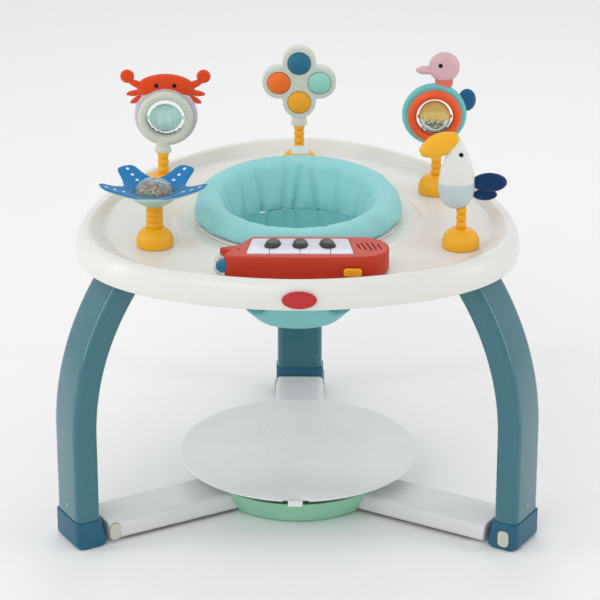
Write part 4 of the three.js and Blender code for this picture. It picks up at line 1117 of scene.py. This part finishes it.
def leaf(root, tip, width, steps=16):
    """A blunt leaf from its root to its tip."""
    along = Vector(tip) - Vector(root)
    across = Vector((along.y, -along.x)).normalized()
    sides = [[], []]
    for i in range(steps + 1):
        t = i / steps
        reach = width / 2 * math.sin(math.pi * (0.04 + 0.92 * t)) ** 0.6
        for side, sign in zip(sides, (1, -1)):
            side.append(tuple(Vector(root) + along * t + across * reach * sign))
    return sides[0] + sides[1][::-1]


def kept_clear(outline, x, z, room):
    """The outline, moved out to the edge of a round opening where it would enter it."""
    moved = []
    for px, pz in outline:
        scale = max(1, room / math.hypot(px - x, pz - z))
        moved.append((x + (px - x) * scale, z + (pz - z) * scale))
    return moved


def round_backing(name, place, ring, reach, cloth):
    """A round cloth backing with an opening at the toy's ring."""
    points, skins, _ = pillow(oval(*ring, reach, reach, 96), 12.4, 4.6, 7, 2.8, hole=(*ring, 30.5))
    piece = made(name, [(place[0] + x, place[1] + y, z) for x, y, z in points], skins, 70)
    piece.data.materials.append(cloth)
    return piece


shell = round_backing("crab_shell", (cx, cy), crab_ring, 49, lilac_cloth)
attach(shell, "crab_head")

crab_shift = (cx, cy, 0)
crab_x, crab_z = crab_ring[0], 606
crab_outline = kept_clear(oval(crab_x, crab_z, 45, 23), *crab_ring, 31.5)
crab = stuffed("crab_body", crab_outline, 16, 8, 11, crab_cloth, "crab_head", crab_shift)
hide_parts("crab_plush")
for tag, side in (("left", -1), ("right", 1)):
    def out(far, up):
        return crab_x + side * far, crab_z + up

    for name, line in (("arm", leaf(out(30, 0), out(58, 12), 12)),
                       ("claw", oval(*out(59, 19), 11, 11, 48)),
                       ("upper_leg", leaf(out(34, -6), out(61, -10), 10)),
                       ("lower_leg", leaf(out(32, -12), out(55, -24), 10))):
        limb = stuffed(f"crab_{tag}_{name}", line, 15.5, 4.6, 6, crab_cloth, "crab_head", crab_shift, fine=2)

eye_dark = woven("embroidered_navy", 0x1B1D38, thread=0.5, sheen=0.1)


def patch(name, x, y, z, half_x, half_z, high, finish, body, shift=(0, 0, 0)):
    """A small domed embroidered patch that faces the front."""
    rings = []
    for share, rise in ((1, -1.2), (1, 0), (0.96, 0.3), (0.8, 0.55), (0.5, 0.8), (0.2, 0.9), (0.03, 0.92)):
        ring = []
        for i in range(36):
            t = 2 * math.pi * i / 36
            ring.append((shift[0] + x + half_x * share * math.cos(t), shift[1] + y - high * rise,
                         shift[2] + z + half_z * share * math.sin(t)))
        rings.append(ring)
    piece = skinned(name, rings, crease=60)
    piece.data.materials.append(finish)
    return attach(piece, body)


for tag, side in (("left", -1), ("right", 1)):
    patch(f"crab_eye_{tag}", crab_x + side * 14, 8.2, crab_z + 6, 3.6, 3.6, 0.8, eye_dark, "crab_head",
          crab_shift)


# ---- Clover toy ----
# Four round lobes of pale plastic, each with a soft silicone button that pops in when it is
# pressed. The buttons carry fine raised dots.
kx, ky = toy_places["clover"]
clover_finish = moulded("clover_grey_plastic", 0xD3D7CD, rough=0.42, grain=0.3)
lobes = {"top": (0, 32, 0x14708D), "left": (-32, 0, 0xF3742B), "right": (32, 0, 0x97D5C8),
         "bottom": (0, -32, 0xF1AA22)}
clover_z = 586.5
clover_line = []
for i in range(240):
    t = 2 * math.pi * i / 240
    reach = 0
    for lx, lz, _ in lobes.values():
        along = lx * math.cos(t) + lz * math.sin(t)
        side = abs(-lx * math.sin(t) + lz * math.cos(t))
        if side < 26.5 and along > 0:
            reach = max(reach, along + math.sqrt(26.5 ** 2 - side ** 2))
    clover_line.append([reach * math.cos(t), reach * math.sin(t)])
for _ in range(6):
    clover_line = [[(clover_line[i - 1][n] + 2 * p[n] + clover_line[(i + 1) % 240][n]) / 4 for n in range(2)]
                   for i, p in enumerate(clover_line)]
clover = slab("clover_plate", [tuple(p) for p in clover_line], -9, 9, 2.6, 5, "Y", (kx, ky, clover_z))
neck_line = [(0, 514.5), (12.2, 514.5), (12.9, 516), (12, 522), (11.4, 531), (11.4, 536), (0, 536)]
neck = turned("neck", softened(neck_line, 1.5, 3), 64)
neck.data.transform(Matrix.Translation((kx / 1000, ky / 1000, 0)) @ Matrix.Diagonal((1, 0.7, 1, 1)))
combined(clover, [neck], "UNION")
well_line = [(0, 2), (18.7, 2), (18.7, 15), (0, 15)]
combined(clover, [turned("button_well", well_line, 72, (kx + lx, ky, clover_z + lz), "Y")
                  for lx, lz, _ in lobes.values()])
dressed(clover, clover_finish, "clover_head", "clover_body", slot="clover_grey")
for tag, (lx, lz, code) in lobes.items():
    silicone = moulded(f"silicone_{tag}", code, rough=0.5, grain=0.2, drift=0.04)
    dome_line = [(0, 6.5), (17.9, 6.5), (18.1, 9), (17.2, 10.8), (15.4, 13), (12, 15.4), (7, 17.3), (0, 18)]
    button = turned(f"clover_button_{tag}", softened(dome_line, 2, 3), 72, (kx + lx, ky, clover_z + lz), "Y")
    dressed(button, silicone, f"pop_{tag}", f"clover_pop_{tag}",
            slot="pop_yellow" if tag == "bottom" else None)
    spots = []
    for ring in range(0, 7):
        for k in range(max(1, 6 * ring)):
            t = 2 * math.pi * k / max(1, 6 * ring)
            r = 2.3 * ring
            lift = math.sqrt(max(0, 27.3 ** 2 - r ** 2)) - 9.3
            out = Vector((r * math.cos(t), -(lift + 9.3), r * math.sin(t)))
            spot = (kx + lx + r * math.cos(t), ky - lift + 0.15, clover_z + lz + r * math.sin(t))
            spots.append((spot, tuple(out)))
    dimple = turned("dot_form", [(0, -0.3), (0.7, -0.3), (0.5, 0.3), (0, 0.42)], 8, crease=80)
    dressed(strewn(f"clover_dots_{tag}", dimple, spots, 1.0, silicone), silicone, f"pop_{tag}")


# ---- Seahorse toy ----
# An orange ring with a rattle ball on two pins, yellow above and clear below over loose
# beads. Behind it: a plain stuffed seahorse of round forms on a round teal back.
hx, hy = toy_places["seahorse"]
seahorse_ring = (-4, 568)
orange_finish = moulded("orange_ring", 0xEE5A22, rough=0.36, grain=0.2, gloss=0.2)
toy_ring("seahorse_rattle_ring", (hx, hy), seahorse_ring, 41.5, 28, 14, 12, 510.5, orange_finish,
         "seahorse_head", "seahorse_ring", "ring_orange", round_face=True)
ball_x, ball_z = hx + seahorse_ring[0], seahorse_ring[1]


def half_ball(name, sign):
    rings = []
    for r in (24.5, 23.5):
        for i in range(19):
            t = math.pi / 2 * i / 18
            reach, lift = r * math.cos(t), 0.1 + r * math.sin(t)
            ring = [(ball_x + reach * math.cos(a), hy + reach * math.sin(a), ball_z + sign * lift)
                    for a in (2 * math.pi * k / 72 for k in range(72))]
            rings.append(ring) if r > 24 else rings.insert(0, ring)
        outer, lining = rings[19:], rings[:19][::-1]
    return skinned(name, [*reversed(outer), *lining], crease=60)


amber_finish = see_through("amber_half", 0xF2D58A, rough=0.2, ior=1.3, through=0.6)
ball_top = half_ball("seahorse_ball_top", 1)
dressed(ball_top, amber_finish, "seahorse_rattle", "seahorse_ball", slot="clear")
ball_low = half_ball("seahorse_ball_bottom", -1)
dressed(ball_low, dome_finish, "seahorse_rattle", slot="clear")
for s in (-1, 1):
    near, far = sorted((s * 24.2, s * 26.4))
    pin = turned(f"seahorse_pin_{'left' if s < 0 else 'right'}",
                 [(0, near), (2.6, near), (2.6, far), (0, far)], 24, (ball_x, hy, ball_z), "X")
    dressed(pin, orange_finish, "seahorse_rattle", slot="clear")


def in_ball(chance):
    r, t = 14 * math.sqrt(chance.random()), chance.uniform(0, 2 * math.pi)
    return ball_x + r * math.cos(t), hy + r * math.sin(t), ball_z - 19 + 0.035 * r * r + chance.uniform(0, 4)


bead_heap("seahorse_beads", 60, in_ball, "seahorse_rattle", (0xF0F0EA, 0x3A5A70, 0xE8A53C), seed=5)

pink_cloth = woven("pink_velour", 0xE3BDC2, thread=0.7, weave=0.5, sheen=0.5)
coral_cloth = woven("coral_velour", 0xE3806E, thread=0.7, weave=0.5, sheen=0.4)
teal_cloth = woven("teal_back_cloth", 0x7CC9C6, thread=0.8)
satin_cloth = woven("blue_satin", 0x0F5F8C, rough=0.35, thread=0.5, weave=0.15, sheen=0.6)
sea_shift = (hx, hy, 0)
backing = round_backing("seahorse_round_back", (hx, hy), seahorse_ring, 50, teal_cloth)
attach(backing, "seahorse_head")
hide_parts("seahorse_plush")
for name, line, middle, thick, edge, cloth in (
        ("neck", kept_clear(oval(10, 620, 14, 18), *seahorse_ring, 31.5), 15, 6, 9, coral_cloth),
        ("head", oval(10, 643, 24, 24), 15, 7.5, 11, pink_cloth),
        ("snout", oval(-18, 638, 16, 7, 48), 14.5, 5, 6, pink_cloth),
        ("fin", oval(46, 590, 14, 18, 48), 15, 3, 5, satin_cloth)):
    part = stuffed(f"seahorse_{name}", line, middle, thick, edge, cloth, "seahorse_head", sea_shift, fine=2.4)
patch("seahorse_eye", 4, 7.7, 647, 3.6, 3.6, 0.8, eye_dark, "seahorse_head", sea_shift)


# ---- Toucan toy ----
# A plain bird: an egg-shaped body of white plastic over a pale blue-grey bowl, a yellow
# beak, and an oval navy cloth wing and tail sewn on at the right.
ux, uy = toy_places["toucan"]
egg_finish = moulded("egg_white_plastic", 0xE2E5E0, rough=0.4, grain=0.2)
bowl_finish = moulded("pale_blue_bowl", 0xC4D2D6, rough=0.4, grain=0.2)
beak_finish = moulded("beak_yellow", 0xF3B51A, rough=0.4, grain=0.3)
rings = []
for level in range(49):
    t = level / 48
    half = max(0.8, 27 * max(0, math.sin(math.pi * t ** 0.6)) ** 0.8)
    rings.append([(ux - 8 + half * math.cos(a), uy + 0.62 * half * math.sin(a), 504 + 116.5 * t)
                  for a in (2 * math.pi * i / 96 for i in range(96))])
toucan = skinned("toucan_egg_body", rings, crease=40)
toucan.data.materials.append(egg_finish)
toucan.data.materials.append(bowl_finish)
for face in toucan.data.polygons:
    face.material_index = 1 if face.center.z < 0.545 else 0
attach(toucan, "toucan_head")
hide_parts("toucan_body")
points, skins, _ = pillow(leaf((-6, 616), (-62, 590), 36), 0, 9, 14, 2.4, drop=0.9)
beak = made("toucan_beak", [(ux + x, uy + y, z) for x, y, z in points], skins, 60)
dressed(beak, beak_finish, "toucan_head", slot="toucan_shell")
navy_felt = woven("navy_felt", 0x123F66, thread=1.0, weave=0.6)
bird_shift = (ux, uy, 0)
wing = stuffed("toucan_wing_cloth", oval(40, 545, 26, 15), 0, 6, 8, navy_felt, "toucan_head", bird_shift)
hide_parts("toucan_wing")
tail = stuffed("toucan_tail_cloth", oval(34, 526, 18, 9, 48), 0, 4, 6, navy_felt, "toucan_head", bird_shift,
               fine=2)
patch("toucan_eye", -3, -8.8, 590, 3.6, 3.6, 1.6, eye_dark, "toucan_head", bird_shift)
# ---- Studio ----
# A plain pale floor that runs out of sight, a bright room and four large soft lamps: one
# high at the front, one on each side, and one behind that draws the edges of the legs.
floor_mesh = bpy.data.meshes.new("floor")
floor_corners = [(x, y, -0.0004) for x, y in ((-9, -9), (9, -9), (9, 9), (-9, 9))]
floor_mesh.from_pydata(floor_corners, [], [(0, 1, 2, 3)])
floor = bpy.data.objects.new("floor", floor_mesh)
bpy.context.scene.collection.objects.link(floor)
floor.data.materials.append(moulded("pale_floor", 0xF8F8F8, rough=0.7, drift=0.01, grain=0.05, pitch=4))

room = bpy.data.worlds.new("pale_room")
room.use_nodes = True
room.node_tree.nodes["Background"].inputs["Color"].default_value = (1.0, 1.0, 1.0, 1)
room.node_tree.nodes["Background"].inputs["Strength"].default_value = 0.78
bpy.context.scene.world = room


def lamp(name, spot, aim, size, power):
    light = bpy.data.lights.new(name, "AREA")
    light.shape = "RECTANGLE"
    light.size, light.size_y = size
    light.energy = power
    piece = bpy.data.objects.new(name, light)
    bpy.context.scene.collection.objects.link(piece)
    piece.location = spot
    piece.rotation_euler = (Vector(aim) - Vector(spot)).to_track_quat("-Z", "Y").to_euler()


lamp("lamp_front", (-1.2, -2.6, 2.6), (0, 0, 0.35), (1.8, 1.4), 20)
lamp("lamp_left", (-2.4, -0.4, 1.2), (0, 0, 0.3), (0.5, 1.8), 10)
lamp("lamp_right", (2.4, -0.4, 1.2), (0, 0, 0.3), (0.5, 1.8), 8)
lamp("lamp_back", (0.4, 2.4, 2.2), (0, 0, 0.4), (2.2, 0.8), 10)


# ---- Camera ----
# A long lens a little over four metres away, looking slightly down at the jumper.
lens = bpy.data.cameras.new("camera")
lens.lens, lens.sensor_width = 165.06, 36
camera = bpy.data.objects.new("camera", lens)
bpy.context.scene.collection.objects.link(camera)
camera.location = (0.0296, -3.9155, 1.8993)
camera.rotation_euler = Vector((-0.00631, 0.92690, -0.37525)).to_track_quat("-Z", "Y").to_euler()
bpy.context.scene.camera = camera
bpy.context.scene.view_settings.view_transform = "Standard"
